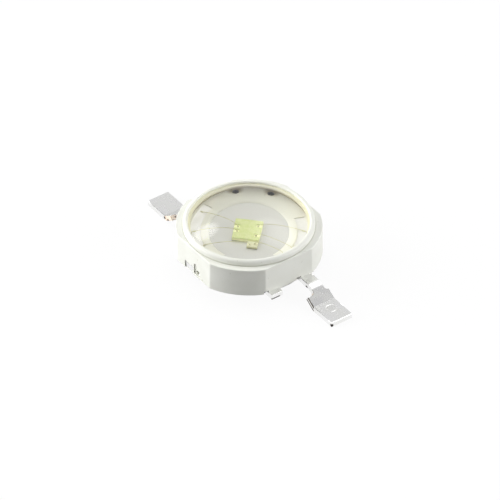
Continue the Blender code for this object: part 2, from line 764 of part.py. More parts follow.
def wire_route(start, end):
    """Points of one wire: up from its first bond, over in a low loop, and down to its landing."""
    start = start + Vector((0, 0, SEAT_GAP + BALL_HEIGHT))
    end = end + Vector((0, 0, SEAT_GAP + WIRE_RADIUS))
    along = Vector((end.x - start.x, end.y - start.y, 0))
    lift = Vector((0, 0, LOOP_HEIGHT))
    handles = (start, start + 0.05 * along + 1.3 * lift, start + 0.55 * along + 0.9 * lift, end)
    points = []
    for i in range(WIRE_POINTS):
        t = i / (WIRE_POINTS - 1)
        weights = ((1 - t) ** 3, 3 * t * (1 - t) ** 2, 3 * t**2 * (1 - t), t**3)
        points.append(sum((w * handle for w, handle in zip(weights, handles)), Vector()))
    return points


def wire_curve(name, route, grow):
    """A round tube along the route, with the ball of its first bond at the start."""
    curve = bpy.data.curves.new(name, "CURVE")
    curve.dimensions = "3D"
    curve.bevel_depth = 1.0
    curve.bevel_resolution = 2
    curve.use_fill_caps = True
    wire = WIRE_RADIUS + grow
    ball = BALL_RADIUS + grow
    foot = route[0] - Vector((0, 0, BALL_HEIGHT + 2 * grow))
    crown = route[0] + Vector((0, 0, grow))
    above = crown + Vector((0, 0, BALL_HEIGHT / 2))
    stations = [(foot, ball), (crown, ball), (above, wire)]
    stations += [(point, wire) for point in route[1:]]
    spline = curve.splines.new("POLY")
    spline.points.add(len(stations) - 1)
    for point, (place, radius) in zip(spline.points, stations):
        point.co = (*place, 1)
        point.radius = radius
    return curve


def make_wires(parts, material):
    routes = [wire_route(*ends) for ends in wire_ends()]
    for number, route in enumerate(routes, start=1):
        name = f"bond_wire_{number}"
        add_object(name, wire_curve(name, route, 0), parts, material)
    return routes


# Lens and gel


def make_lens(parts, material):
    rim = LENS_BOTTOM + LENS_RIM_HEIGHT
    dome = cap_points(LENS_RADIUS - LENS_EDGE, rim, LENS_RISE, DOME_STEPS)
    hollow = cap_points(HOLLOW_RADIUS, LENS_BOTTOM, HOLLOW_RISE, HOLLOW_STEPS)
    profile = [*dome, (LENS_RADIUS, rim - LENS_EDGE), (LENS_RADIUS, LENS_BOTTOM), *reversed(hollow)]
    return turned("lens", profile, parts, material)


def gel_profile():
    top = LENS_BOTTOM - GEL_GAP
    floor = SHELF + GEL_GAP
    neck = SLUG_NECK_RADIUS - GEL_GAP
    crown = cap_points(HOLLOW_RADIUS - GEL_GAP, top, HOLLOW_RISE - GEL_GAP, HOLLOW_STEPS)
    return [
        *crown,
        (CAVITY_RADIUS - GEL_GAP, top),
        (CAVITY_RADIUS - GEL_GAP, floor),
        (neck + NECK_CHAMFER, floor),
        (neck, SLUG_TOP + GEL_GAP),
        (0, SLUG_TOP + GEL_GAP),
    ]


def as_mesh(name, curve, collection):
    """Turns a curve into a welded mesh object, so that it can cut."""
    holder = bpy.data.objects.new(name, curve)
    bpy.context.scene.collection.objects.link(holder)
    bpy.context.view_layer.update()
    graph = bpy.context.evaluated_depsgraph_get()
    mesh = bpy.data.meshes.new_from_object(holder.evaluated_get(graph))
    bpy.data.objects.remove(holder)
    shape = bmesh.new()
    shape.from_mesh(mesh)
    bmesh.ops.remove_doubles(shape, verts=shape.verts, dist=1e-8)
    bmesh.ops.recalc_face_normals(shape, faces=shape.faces)
    shape.to_mesh(mesh)
    shape.free()
    return add_object(name, mesh, collection)


def make_gel(routes, parts, cutters, frame, material):
    gel = turned("silicone_gel", gel_profile(), parts, material)
    for half_turns, side in ((0, "right"), (1, "left")):
        fill_mesh = plate_mesh(
            f"window_fill_{side}", window_outline(-GEL_GAP), ARM_TOP + GEL_GAP, SHELF + 2 * GEL_GAP
        )
        fill = add_object(f"window_fill_{side}", fill_mesh, cutters)
        turn_about_axis(fill, half_turns)
        combine(gel, fill, "UNION")
    below = SLUG_TOP - SOLDER_HEIGHT
    margin = SOLDER_MARGIN + GEL_GAP
    die_side = DIE_SIDE + 2 * margin
    die_size = (die_side, die_side, COAT_TOP + GEL_GAP - below)
    die = box("die_pocket", die_size, (*DIE_PLACE, below), cutters, None, frame)
    diode_size = (
        DIODE_WIDTH + 2 * margin,
        DIODE_LENGTH + 2 * margin,
        DIODE_TOP + GEL_GAP - below,
    )
    diode = box("diode_pocket", diode_size, (*DIODE_PLACE, below), cutters, None, frame)
    for pocket in (die, diode):
        combine(gel, pocket, "DIFFERENCE")
    for number, route in enumerate(routes, start=1):
        channel = as_mesh(f"wire_channel_{number}", wire_curve("channel", route, GEL_GAP), cutters)
        combine(gel, channel, "DIFFERENCE")
        end = route[-1]
        landing = cylinder(
            f"wire_landing_{number}",
            LANDING_RADIUS,
            end.z - LANDING_RADIUS,
            end.z + LANDING_RADIUS,
            end,
            cutters,
            10,
        )
        combine(gel, landing, "DIFFERENCE")
    return gel


def build():
    clear_scene()
    parts = new_collection("high_power_led", False)
    cutters = new_collection("cutters", True)
    materials = {
        "plastic": new_material("white_plastic", (0.80, 0.80, 0.76), 0.45),
        "plated": new_material("silver_plate", (0.78, 0.78, 0.76), 0.28, 1.0),
        "solder": new_material("die_attach", (0.55, 0.55, 0.53), 0.45, 0.8),
        "die": new_material("die_crystal", (0.74, 0.80, 0.42), 0.25),
        "diode": new_material("diode_crystal", (0.78, 0.80, 0.55), 0.30),
        "phosphor": new_material("phosphor", (0.70, 0.82, 0.25), 0.70),
        "gold": new_material("gold_wire", (0.85, 0.66, 0.30), 0.25, 1.0),
        "lens": new_material("clear_lens", (0.97, 0.98, 0.97), 0.03, 0.0, 0.30),
        "gel": new_material("clear_gel", (0.97, 0.97, 0.95), 0.05, 0.0, 0.20),
    }
    housing = make_housing(parts, cutters, materials["plastic"])
    make_slug(parts, materials["plated"])
    make_leads(housing, parts, cutters, materials["plated"])
    make_frame_bars(housing, parts, cutters, materials["plated"])
    cut_pin_holes(housing, cutters)
    cut_root_notches(housing, cutters)
    cut_tie_pockets(housing, cutters)
    frame = bpy.data.objects.new("die_frame", None)
    parts.objects.link(frame)
    frame.rotation_euler = (0, 0, DIE_TURN)
    make_die(parts, materials, frame)
    make_diode(parts, materials, frame)
    routes = make_wires(parts, materials["gold"])
    make_lens(parts, materials["lens"])
    make_gel(routes, parts, cutters, frame, materials["gel"])


build()
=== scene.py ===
import math

import bmesh
import bpy
from mathutils import Matrix, Vector


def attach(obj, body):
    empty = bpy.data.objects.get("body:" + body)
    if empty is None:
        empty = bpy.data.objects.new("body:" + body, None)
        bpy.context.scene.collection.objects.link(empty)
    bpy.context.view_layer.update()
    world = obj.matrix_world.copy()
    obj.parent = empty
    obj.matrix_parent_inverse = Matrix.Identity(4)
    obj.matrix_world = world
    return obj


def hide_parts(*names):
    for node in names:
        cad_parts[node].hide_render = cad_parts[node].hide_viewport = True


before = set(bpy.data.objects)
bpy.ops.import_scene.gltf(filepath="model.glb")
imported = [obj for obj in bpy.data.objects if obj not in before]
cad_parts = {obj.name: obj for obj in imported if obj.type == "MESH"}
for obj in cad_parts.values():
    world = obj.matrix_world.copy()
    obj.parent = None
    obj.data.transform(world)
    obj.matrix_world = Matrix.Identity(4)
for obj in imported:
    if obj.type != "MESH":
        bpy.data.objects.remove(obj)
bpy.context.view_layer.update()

mm = 0.001  # every shape is drawn in millimetres and brought to metres when it is finished
print("frame loaded:", len(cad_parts), "nodes")


# small tools for shapes
def spinProfile(points, steps, closed=False):
    shape = bmesh.new()
    verts = [shape.verts.new((radius, 0, level)) for radius, level in points]
    ends = verts[1:] + verts[:1] if closed else verts[1:]
    edges = [shape.edges.new(pair) for pair in zip(verts, ends)]
    bmesh.ops.spin(
        shape,
        geom=verts + edges,
        cent=(0, 0, 0),
        axis=(0, 0, 1),
        angle=math.tau,
        steps=steps,
        use_merge=True,
    )
    bmesh.ops.remove_doubles(shape, verts=shape.verts, dist=0.0001)
    bmesh.ops.recalc_face_normals(shape, faces=shape.faces)
    return shape


def softenEdges(shape, width, segments, wanted=lambda edge: True, leastAngle=15):
    least = math.radians(leastAngle)
    edges = [edge for edge in shape.edges if edge.calc_face_angle(0) > least and wanted(edge)]
    bmesh.ops.bevel(
        shape, geom=edges, offset=width, affect="EDGES", segments=segments, profile=0.5, material=-1
    )


def moveShape(shape, place):
    bmesh.ops.translate(shape, verts=shape.verts, vec=place)
    return shape


def makeBlock(size, place, rounding=0.0):
    shape = bmesh.new()
    bmesh.ops.create_cube(shape, size=1)
    bmesh.ops.scale(shape, verts=shape.verts, vec=size)
    if rounding:
        softenEdges(shape, rounding, 2)
    return moveShape(shape, place)


def makeRod(radius, depth, place, segments=24):
    shape = bmesh.new()
    bmesh.ops.create_cone(
        shape, cap_ends=True, segments=segments, radius1=radius, radius2=radius, depth=depth
    )
    return moveShape(shape, place)


def turnShape(shape, degrees, axis="Z"):
    turn = Matrix.Rotation(math.radians(degrees), 3, axis)
    bmesh.ops.rotate(shape, cent=(0, 0, 0), matrix=turn, verts=shape.verts)
    return shape


def addObject(name, data):
    made = bpy.data.objects.new(name, data)
    bpy.context.scene.collection.objects.link(made)
    return made


def holdShape(shape, name="held"):
    mesh = bpy.data.meshes.new(name)
    shape.to_mesh(mesh)
    shape.free()
    return addObject(name, mesh)


def readMesh(holder):
    bpy.context.view_layer.update()
    graph = bpy.context.evaluated_depsgraph_get()
    return bpy.data.meshes.new_from_object(holder.evaluated_get(graph))


def readShape(holder):
    mesh = readMesh(holder)
    shape = bmesh.new()
    shape.from_mesh(mesh)
    bpy.data.meshes.remove(mesh)
    return shape


def combineShapes(base, others, operation):
    holder = holdShape(base)
    helpers = [holdShape(other) for other in others]
    for helper in helpers:
        boolean = holder.modifiers.new("combine", "BOOLEAN")
        boolean.operation = operation
        boolean.object = helper
        boolean.solver = "EXACT"
    shape = readShape(holder)
    for helper in [holder, *helpers]:
        bpy.data.objects.remove(helper)
    bmesh.ops.remove_doubles(shape, verts=shape.verts, dist=0.00005)
    return shape


def addShapes(shapes):
    whole = bmesh.new()
    for shape in shapes:
        mesh = bpy.data.meshes.new("part")
        shape.to_mesh(mesh)
        shape.free()
        whole.from_mesh(mesh)
        bpy.data.meshes.remove(mesh)
    return whole


def finishPiece(name, shape, finishes, nodes, sharpFrom=40):
    holder = holdShape(shape)
    holder.data.shade_smooth()
    holder.data.set_sharp_from_angle(angle=math.radians(sharpFrom))
    weighted = holder.modifiers.new("even shading", "WEIGHTED_NORMAL")
    weighted.keep_sharp = True
    mesh = readMesh(holder)
    bpy.data.objects.remove(holder)
    mesh.name = name
    mesh.transform(Matrix.Scale(mm, 4))  # after the shading, which needs faces of some size
    piece = addObject(name, mesh)
    for finish in finishes:
        mesh.materials.append(finish)
    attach(piece, "root")
    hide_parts(*nodes)


# small tools for finishes
def linear(value):
    value = value / 255
    return value / 12.92 if value <= 0.04045 else ((value + 0.055) / 1.055) ** 2.4


def colour(red, green, blue):
    return (linear(red), linear(green), linear(blue), 1)


def addNode(tree, kind, **settings):
    node = tree.nodes.new(kind)
    for name, value in settings.items():
        setattr(node, name, value)
    return node


def feed(tree, socket, value):
    if isinstance(value, bpy.types.NodeSocket):
        tree.links.new(value, socket)
    else:
        socket.default_value = value


def addMath(tree, operation, first, second=0.0, clamp=False):
    node = addNode(tree, "ShaderNodeMath", operation=operation, use_clamp=clamp)
    feed(tree, node.inputs[0], first)
    feed(tree, node.inputs[1], second)
    return node.outputs[0]


def addProduct(tree, first, second):
    return addMath(tree, "MULTIPLY", first, second)


def addMix(tree, factor, first, second):
    node = addNode(tree, "ShaderNodeMix", data_type="RGBA")
    for place, value in ((0, factor), (6, first), (7, second)):
        feed(tree, node.inputs[place], value)
    return node.outputs[2]


def addSpread(tree, value, fromLow, fromHigh, toLow=0.0, toHigh=1.0):
    node = addNode(tree, "ShaderNodeMapRange", interpolation_type="SMOOTHSTEP")
    for place, number in enumerate((value, fromLow, fromHigh, toLow, toHigh)):
        feed(tree, node.inputs[place], number)
    return node.outputs[0]


def addFade(tree, value, start, end, amount=1.0):
    return addSpread(tree, value, start, end, amount, 0.0)


def addVectorMath(tree, operation, vector, other=None):
    node = addNode(tree, "ShaderNodeVectorMath", operation=operation)
    feed(tree, node.inputs[0], vector)
    if other is not None:
        node.inputs[1].default_value = other
    return node.outputs


def addDistance(tree, place, spot):
    return addVectorMath(tree, "DISTANCE", place, Vector(spot) * mm)["Value"]


def addRadius(tree, place):
    flat = addVectorMath(tree, "MULTIPLY", place, (1, 1, 0))["Vector"]
    return addVectorMath(tree, "LENGTH", flat)["Value"]


def addNoise(tree, vector, scale, detail):
    node = addNode(tree, "ShaderNodeTexNoise")
    feed(tree, node.inputs["Vector"], vector)
    feed(tree, node.inputs["Scale"], scale)
    feed(tree, node.inputs["Detail"], detail)
    return node.outputs["Fac"]


def newGroup(name, values, results):
    group = bpy.data.node_groups.new(name, "ShaderNodeTree")
    addSocket = group.interface.new_socket
    addSocket(name="Vector", in_out="INPUT", socket_type="NodeSocketVector")
    for label, value in values.items():
        addSocket(name=label, in_out="INPUT", socket_type="NodeSocketFloat").default_value = value
    for label in results:
        addSocket(name=label, in_out="OUTPUT", socket_type="NodeSocketFloat")
    return group, group.nodes.new("NodeGroupInput").outputs, group.nodes.new("NodeGroupOutput").inputs


mottleNoise = {
    "inputs": {"Patch": 900.0, "Grain": 9000.0, "Speck": 0.7},
    "patchDetail": 4.0,
    "patchSpan": (0.3, 0.7),
    "grainDetail": 2.0,
    "dotDetail": 1.0,
    "dotScale": 6.0,  # times the patches' scale
    "dotEdge": 0.06,
}
rolledNoise = {
    "inputs": {"Scale": 3000.0},
    "stretch": (0.06, 1.0, 1.0),
    "streakDetail": 4.0,
    "cloudDetail": 3.0,
    "cloudScale": 0.35,  # times the streaks' scale
    "cloudSpan": (0.35, 0.65),
}


def makeMottleGroup():
    noise = mottleNoise
    group, given, made = newGroup("mottle", noise["inputs"], ("Patches", "Grain", "Specks"))
    patches = addNoise(group, given["Vector"], given["Patch"], noise["patchDetail"])
    grain = addNoise(group, given["Vector"], given["Grain"], noise["grainDetail"])
    dotScale = addProduct(group, given["Patch"], noise["dotScale"])
    dots = addNoise(group, given["Vector"], dotScale, noise["dotDetail"])
    upper = addMath(group, "ADD", given["Speck"], noise["dotEdge"])
    feed(group, made["Patches"], addSpread(group, patches, *noise["patchSpan"]))
    feed(group, made["Grain"], grain)
    feed(group, made["Specks"], addSpread(group, dots, given["Speck"], upper))
    return group


def makeRolledGroup():
    noise = rolledNoise
    group, given, made = newGroup("rolledGrain", noise["inputs"], ("Streaks", "Clouds"))
    stretch = addNode(group, "ShaderNodeMapping")
    stretch.inputs["Scale"].default_value = noise["stretch"]
    feed(group, stretch.inputs["Vector"], given["Vector"])
    streaks = addNoise(group, stretch.outputs[0], given["Scale"], noise["streakDetail"])
    feed(group, made["Streaks"], streaks)
    cloudScale = addProduct(group, given["Scale"], noise["cloudScale"])
    clouds = addNoise(group, given["Vector"], cloudScale, noise["cloudDetail"])
    feed(group, made["Clouds"], addSpread(group, clouds, *noise["cloudSpan"]))
    return group


mottle = makeMottleGroup()
rolled = makeRolledGroup()


def useGroup(tree, group, **values):
    node = addNode(tree, "ShaderNodeGroup", node_tree=group)
    for name, value in values.items():
        feed(tree, node.inputs[name], value)
    return node.outputs


def newFinish(name, values):
    finish = bpy.data.materials.new(name)
    finish.use_nodes = True
    tree = finish.node_tree
    shader = tree.nodes["Principled BSDF"]
    for label, value in values.items():
        shader.inputs[label].default_value = value
    place = addNode(tree, "ShaderNodeTexCoord").outputs["Object"]
    return finish, tree, shader, place


def mixShaders(tree, factor, first, second, output):
    either = addNode(tree, "ShaderNodeMixShader")
    for socket, value in zip(either.inputs, (factor, first.outputs[0], second.outputs[0])):
        feed(tree, socket, value)
    feed(tree, tree.nodes[output].inputs["Surface"], either.outputs[0])


def addBump(tree, shader, height, distance, strength):
    bump = addNode(tree, "ShaderNodeBump")
    bump.inputs["Strength"].default_value = strength
    bump.inputs["Distance"].default_value = distance
    feed(tree, bump.inputs["Height"], height)
    feed(tree, shader.inputs["Normal"], bump.outputs[0])


# white moulded plastic
plasticLook = {
    "shader": {"Specular IOR Level": 0.45},
    "spots": {"Patch": 700.0, "Grain": 14000.0, "Speck": 0.74},
    "clean": colour(239, 240, 233),
    "cloudy": colour(233, 234, 225),
    "speck": colour(196, 192, 176),
    "speckAmount": 0.5,
    "rough": (0.34, 0.46),
    "relief": 0.006 * mm,
    "bump": 0.5,
    # inside the hollow, which the light off the phosphor warms: radii and levels where it ends
    "hollowSpan": (3.33 * mm, 3.35 * mm),
    "topSpan": (2.45 * mm, 2.65 * mm),
    "wallSpan": (3.03 * mm, 3.04 * mm),
    "wall": colour(243, 240, 214),
    "shelf": colour(246, 246, 238),
    # painted shade: a dark brown line in the crease at the foot of the hollow's wall; the patches by the
    # holes use the same colour
    "foot": colour(140, 122, 76),
    "footShadeAmount": 0.8,
    "footShadeSpan": (1.39 * mm, 2.30 * mm),
    "footShadeRagged": 0.05 * mm,
    # painted shade in the crease at the foot of the ring: its radius and level
    "seam": (3.61 * mm, 2.55 * mm),
    "seamShadeSpan": (0.02 * mm, 0.07 * mm),
    "seamShadeAmount": 0.5,
    "seamShade": colour(176, 176, 160),
    # painted shade: dark patches behind the four holes, which are folded onto one quarter
    "shadePatchAngles": (23, 57),
    "shadePatchPlace": (2.98, 1.42),  # radius and level
    "shadePatchSpan": (0.16 * mm, 0.50 * mm),
    "shadePatchAmount": 0.85,
    # painted shade in the holes and notches: near black, with a little dust and specks
    "hole": colour(8, 7, 4),
    "holeDustAndShade": colour(22, 20, 12),
    "holeShader": {"Roughness": 0.3},
    "holeSpots": {"Patch": 4000.0, "Grain": 20000.0, "Speck": 0.62},
    "holeSpecks": 0.4,
    "holeRelief": 0.01 * mm,
    "holeBump": 0.6,
}


def makePlastic():
    look = plasticLook
    finish, tree, shader, place = newFinish("whitePlastic", look["shader"])
    spots = useGroup(tree, mottle, Vector=place, **look["spots"])
    parts = addNode(tree, "ShaderNodeSeparateXYZ")
    feed(tree, parts.inputs[0], place)
    x, y, level = parts.outputs
    radius = addRadius(tree, place)

    inside = addFade(tree, radius, *look["hollowSpan"])
    below = addFade(tree, level, *look["topSpan"])
    onWall = addSpread(tree, radius, *look["wallSpan"])
    inner = addMix(tree, onWall, look["shelf"], look["wall"])
    # painted shade in the crease at the foot of the hollow's wall, darkest at the bottom, with a ragged
    # upper edge
    ragged = addProduct(tree, spots["Patches"], look["footShadeRagged"])
    ragged = addMath(tree, "SUBTRACT", level, ragged)
    footShade = addProduct(tree, onWall, addFade(tree, ragged, *look["footShadeSpan"]))
    inner = addMix(tree, addProduct(tree, footShade, look["footShadeAmount"]), inner, look["foot"])

    # painted shade in dark patches behind the holes
    folded = addVectorMath(tree, "ABSOLUTE", place)["Vector"]
    nearHoles = addMath(tree, "LESS_THAN", addProduct(tree, x, y), 0.0)
    away, height = look["shadePatchPlace"]
    for angle in look["shadePatchAngles"]:
        spot = (away * math.cos(math.radians(angle)), away * math.sin(math.radians(angle)), height)
        shadePatch = addFade(tree, addDistance(tree, folded, spot), *look["shadePatchSpan"], look["shadePatchAmount"])
        inner = addMix(tree, addProduct(tree, shadePatch, nearHoles), inner, look["foot"])

    base = addMix(tree, spots["Patches"], look["clean"], look["cloudy"])
    base = addMix(tree, addProduct(tree, inside, below), base, inner)
    # painted shade along the crease at the foot of the ring
    offRadius, offLevel = (
        addMath(tree, "ABSOLUTE", addMath(tree, "SUBTRACT", value, middle))
        for value, middle in zip((radius, level), look["seam"])
    )
    fromSeam = addMath(tree, "MAXIMUM", offRadius, offLevel)
    inSeamShade = addFade(tree, fromSeam, *look["seamShadeSpan"], look["seamShadeAmount"])
    base = addMix(tree, inSeamShade, base, look["seamShade"])
    specks = addProduct(tree, spots["Specks"], look["speckAmount"])
    base = addMix(tree, specks, base, look["speck"])
    feed(tree, shader.inputs["Base Color"], base)
    feed(tree, shader.inputs["Roughness"], addSpread(tree, spots["Patches"], 0.0, 1.0, *look["rough"]))
    addBump(tree, shader, spots["Grain"], look["relief"], look["bump"])
    return finish


def makeHoleShade():
    look = plasticLook
    finish, tree, shader, place = newFinish("paintedHoleShade", look["holeShader"])
    spots = useGroup(tree, mottle, Vector=place, **look["holeSpots"])
    base = addMix(tree, spots["Patches"], look["hole"], look["holeDustAndShade"])
    specks = addProduct(tree, spots["Specks"], look["holeSpecks"])
    feed(tree, shader.inputs["Base Color"], addMix(tree, specks, base, look["speck"]))
    addBump(tree, shader, spots["Grain"], look["holeRelief"], look["holeBump"])
    return finish


# plated metal and gold
pressMark = {
    # round mark that the press leaves on top of one foot
    "place": (6.22, 1.03, 0.31),
    "inner": 0.24,
    "outer": 0.34,
    "depth": 0.008,
    "lean": 0.035,  # how far the groove's walls lean in above and below the surface
    "steps": 48,
    "shadeSpan": (0.23 * mm, 0.25 * mm),
    "shade": colour(234, 234, 232),
}
bare = {"plated": 0.0, "burrAndShade": 0.5, "copper": 1.0}  # values of the faces' attribute
platingLook = {
    "spots": {"Patch": 1500.0, "Grain": 16000.0, "Speck": 0.72},
    "raggedSpan": (0.4, 0.65),
    "copperSpan": (0.6, 0.9),  # of the faces' attribute
    "copper": colour(254, 240, 226),
    "copperDeep": colour(248, 220, 194),
    "copperMetallic": 0.2,
    # burr, darkened with painted shade, on the cut sides
    "burrAndShade": colour(92, 84, 70),
    "burrAndShadeDeep": colour(44, 38, 32),
    "gelSpan": (3.06 * mm, 3.08 * mm),  # the metal inside this radius lies under gel
    "speckRough": 0.2,
    "grainShare": 0.5,
    "bump": 0.5,
    "darkSpotCore": 0.5,  # share of a dark spot's radius that is quite dark
    # dark spots on cut edges, place and radius; the last four, along the lower edge of a cut tab, are
    # painted shadow
    "darkSpots": (
        (7.20, 0.33, 0.10, 0.14),
        (5.43, 0.31, 0.06, 0.12),
        (4.32, 0.75, 0.67, 0.12),
        (5.58, 1.69, 0.18, 0.11),
        (5.25, 1.69, 0.18, 0.12),
        (4.87, 1.46, 0.60, 0.08),
        *((4.07, along, 0.63, 0.12) for along in (0.93, 1.07, 1.21, 1.35)),
    ),
    # burr and painted shade along both edges of the slope's cut side
    "slopeNormal": (0.5446, 0, 0.8387),
    "slopeLevel": 3.150 * mm,
    "burrAndShadeSpan": (0.02325 * mm, 0.062 * mm),  # off the middle of the lead's thickness
}
leadLook = {
    "shades": (colour(242, 242, 242), colour(238, 238, 236)),
    "grain": 4200.0,
    "relief": 0.002 * mm,
    "rough": (0.22, 0.28),
    "gelRough": 0.30,  # added under the gel
}
slugLook = {
    "shades": (colour(222, 222, 220),) * 2,
    "grain": 60000.0,
    "relief": 0.0006 * mm,
    "rough": (0.60, 0.62),
    "gelRough": 0.0,
}
goldLook = {
    "shader": {"Metallic": 1.0, "Roughness": 0.36},
    "spots": {"Patch": 5000.0, "Grain": 30000.0, "Speck": 0.7},
    "shades": (colour(230, 230, 196), colour(200, 196, 150)),
    "relief": 0.002 * mm,
    "bump": 0.4,
}
solderLook = {
    "shader": {"Metallic": 1.0, "Roughness": 0.5},
    "spots": {"Patch": 4000.0, "Grain": 22000.0, "Speck": 0.66},
    "shades": (colour(226, 226, 216), colour(204, 204, 196)),
    "relief": 0.008 * mm,
    "bump": 0.8,
}


def makePlating(name, own):
    look = platingLook
    finish, tree, shader, place = newFinish(name, {})
    streaks = useGroup(tree, rolled, Vector=place, Scale=own["grain"])
    spots = useGroup(tree, mottle, Vector=place, **look["spots"])
    ragged = addSpread(tree, streaks["Streaks"], *look["raggedSpan"])
    folded = addVectorMath(tree, "ABSOLUTE", place)["Vector"]

    bareness = addNode(tree, "ShaderNodeAttribute", attribute_name="bare").outputs["Fac"]
    onCopper = addSpread(tree, bareness, *look["copperSpan"])
    onSide = addMath(tree, "DIVIDE", bareness, bare["burrAndShade"], True)
    level = addVectorMath(tree, "DOT_PRODUCT", folded, look["slopeNormal"])["Value"]
    offMiddle = addMath(tree, "ABSOLUTE", addMath(tree, "SUBTRACT", level, look["slopeLevel"]))
    # burr with painted shade on the cut sides, darkest along their edges
    burrAndShaded = addProduct(tree, onSide, addSpread(tree, offMiddle, *look["burrAndShadeSpan"]))

    base = addMix(tree, streaks["Clouds"], *own["shades"])
    base = addMix(tree, burrAndShaded, base, addMix(tree, ragged, look["burrAndShade"], look["burrAndShadeDeep"]))
    base = addMix(tree, onCopper, base, addMix(tree, ragged, look["copper"], look["copperDeep"]))
    fromMark = addDistance(tree, place, pressMark["place"])
    base = addMix(tree, addFade(tree, fromMark, *pressMark["shadeSpan"]), base, pressMark["shade"])
    # dark spots, the four along the tab's lower edge being painted shadow
    for *spot, size in look["darkSpots"]:
        size *= mm
        darkSpot = addFade(tree, addDistance(tree, folded, spot), look["darkSpotCore"] * size, size)
        base = addMix(tree, darkSpot, base, look["burrAndShadeDeep"])
    feed(tree, shader.inputs["Base Color"], base)
    lost = addProduct(tree, onCopper, 1 - look["copperMetallic"])
    feed(tree, shader.inputs["Metallic"], addMath(tree, "SUBTRACT", 1.0, lost))

    rough = addSpread(tree, streaks["Clouds"], 0.0, 1.0, *own["rough"])
    underGel = addFade(tree, addRadius(tree, place), *look["gelSpan"], own["gelRough"])
    rough = addMath(tree, "ADD", rough, underGel)
    specks = addProduct(tree, spots["Specks"], look["speckRough"])
    feed(tree, shader.inputs["Roughness"], addMath(tree, "ADD", rough, specks))
    grain = addProduct(tree, spots["Grain"], look["grainShare"])
    height = addMath(tree, "ADD", streaks["Streaks"], grain)
    addBump(tree, shader, height, own["relief"], look["bump"])
    return finish


def makeMetal(name, look):
    finish, tree, shader, place = newFinish(name, look["shader"])
    spots = useGroup(tree, mottle, Vector=place, **look["spots"])
    feed(tree, shader.inputs["Base Color"], addMix(tree, spots["Patches"], *look["shades"]))
    addBump(tree, shader, spots["Grain"], look["relief"], look["bump"])
    return finish


# clear optic, crystal and phosphor
opticLook = {
    "shader": {
        "Transmission Weight": 1.0,
        "IOR": 1.46,
        "Roughness": 0.0,
        "Base Color": (0.975, 0.98, 0.93, 1),
    },
    "shadowTint": (0.99, 0.99, 0.975, 1),
    "rippleScale": 500.0,
    "rippleDetail": 2.0,
    "ripple": 0.0006 * mm,
    "bump": 0.4,
}


def makeClear():
    look = opticLook
    finish, tree, shader, place = newFinish("clearOptic", look["shader"])
    ripples = addNoise(tree, place, look["rippleScale"], look["rippleDetail"])
    addBump(tree, shader, ripples, look["ripple"], look["bump"])
    rays = addNode(tree, "ShaderNodeLightPath").outputs
    through = addMath(tree, "MAXIMUM", rays["Is Shadow Ray"], rays["Is Diffuse Ray"])
    through = addMath(tree, "MAXIMUM", through, rays["Is Glossy Ray"])
    passes = addNode(tree, "ShaderNodeBsdfTransparent")
    passes.inputs["Color"].default_value = look["shadowTint"]
    mixShaders(tree, through, shader, passes, "Material Output")
    return finish


powderLook = {
    "shader": {"Roughness": 0.85, "Specular IOR Level": 0.2},
    "spots": {"Patch": 5500.0, "Grain": 26000.0, "Speck": 0.6},
    "speckAmount": 0.6,
    "bump": 0.8,
}
crystalLook = {
    # main, pale and dark colour, relief, and painted glow: the die glows a little though it is no lamp
    "phosphorCoat": (colour(222, 232, 164), colour(232, 239, 186), colour(206, 218, 132), 0.012 * mm, 0.0),
    "dieCrystal": (colour(240, 244, 196), colour(244, 246, 206), colour(232, 239, 186), 0.004 * mm, 0.20),
    "diodeCrystal": (colour(240, 240, 210), colour(240, 240, 206), colour(206, 204, 160), 0.004 * mm, 0.0),
}


def makePowder(name):
    look = powderLook
    main, pale, dark, relief, paintedGlow = crystalLook[name]
    finish, tree, shader, place = newFinish(name, look["shader"])
    # painted glow, which lightens the die's shaded sides
    shader.inputs["Emission Color"].default_value = pale
    shader.inputs["Emission Strength"].default_value = paintedGlow
    spots = useGroup(tree, mottle, Vector=place, **look["spots"])
    base = addMix(tree, spots["Patches"], main, pale)
    base = addMix(tree, addProduct(tree, spots["Specks"], look["speckAmount"]), base, dark)
    feed(tree, shader.inputs["Base Color"], base)
    addBump(tree, shader, spots["Grain"], relief, look["bump"])
    return finish


whitePlastic = makePlastic()
paintedHoleShade = makeHoleShade()
leadPlate = makePlating("silverLeads", leadLook)
slugPlate = makePlating("silverSlug", slugLook)
goldWire = makeMetal("goldWire", goldLook)
dullSolder = makeMetal("dullSolder", solderLook)
clearOptic = makeClear()
phosphorCoat, dieCrystal, diodeCrystal = (makePowder(name) for name in crystalLook)
print("finishes ready")


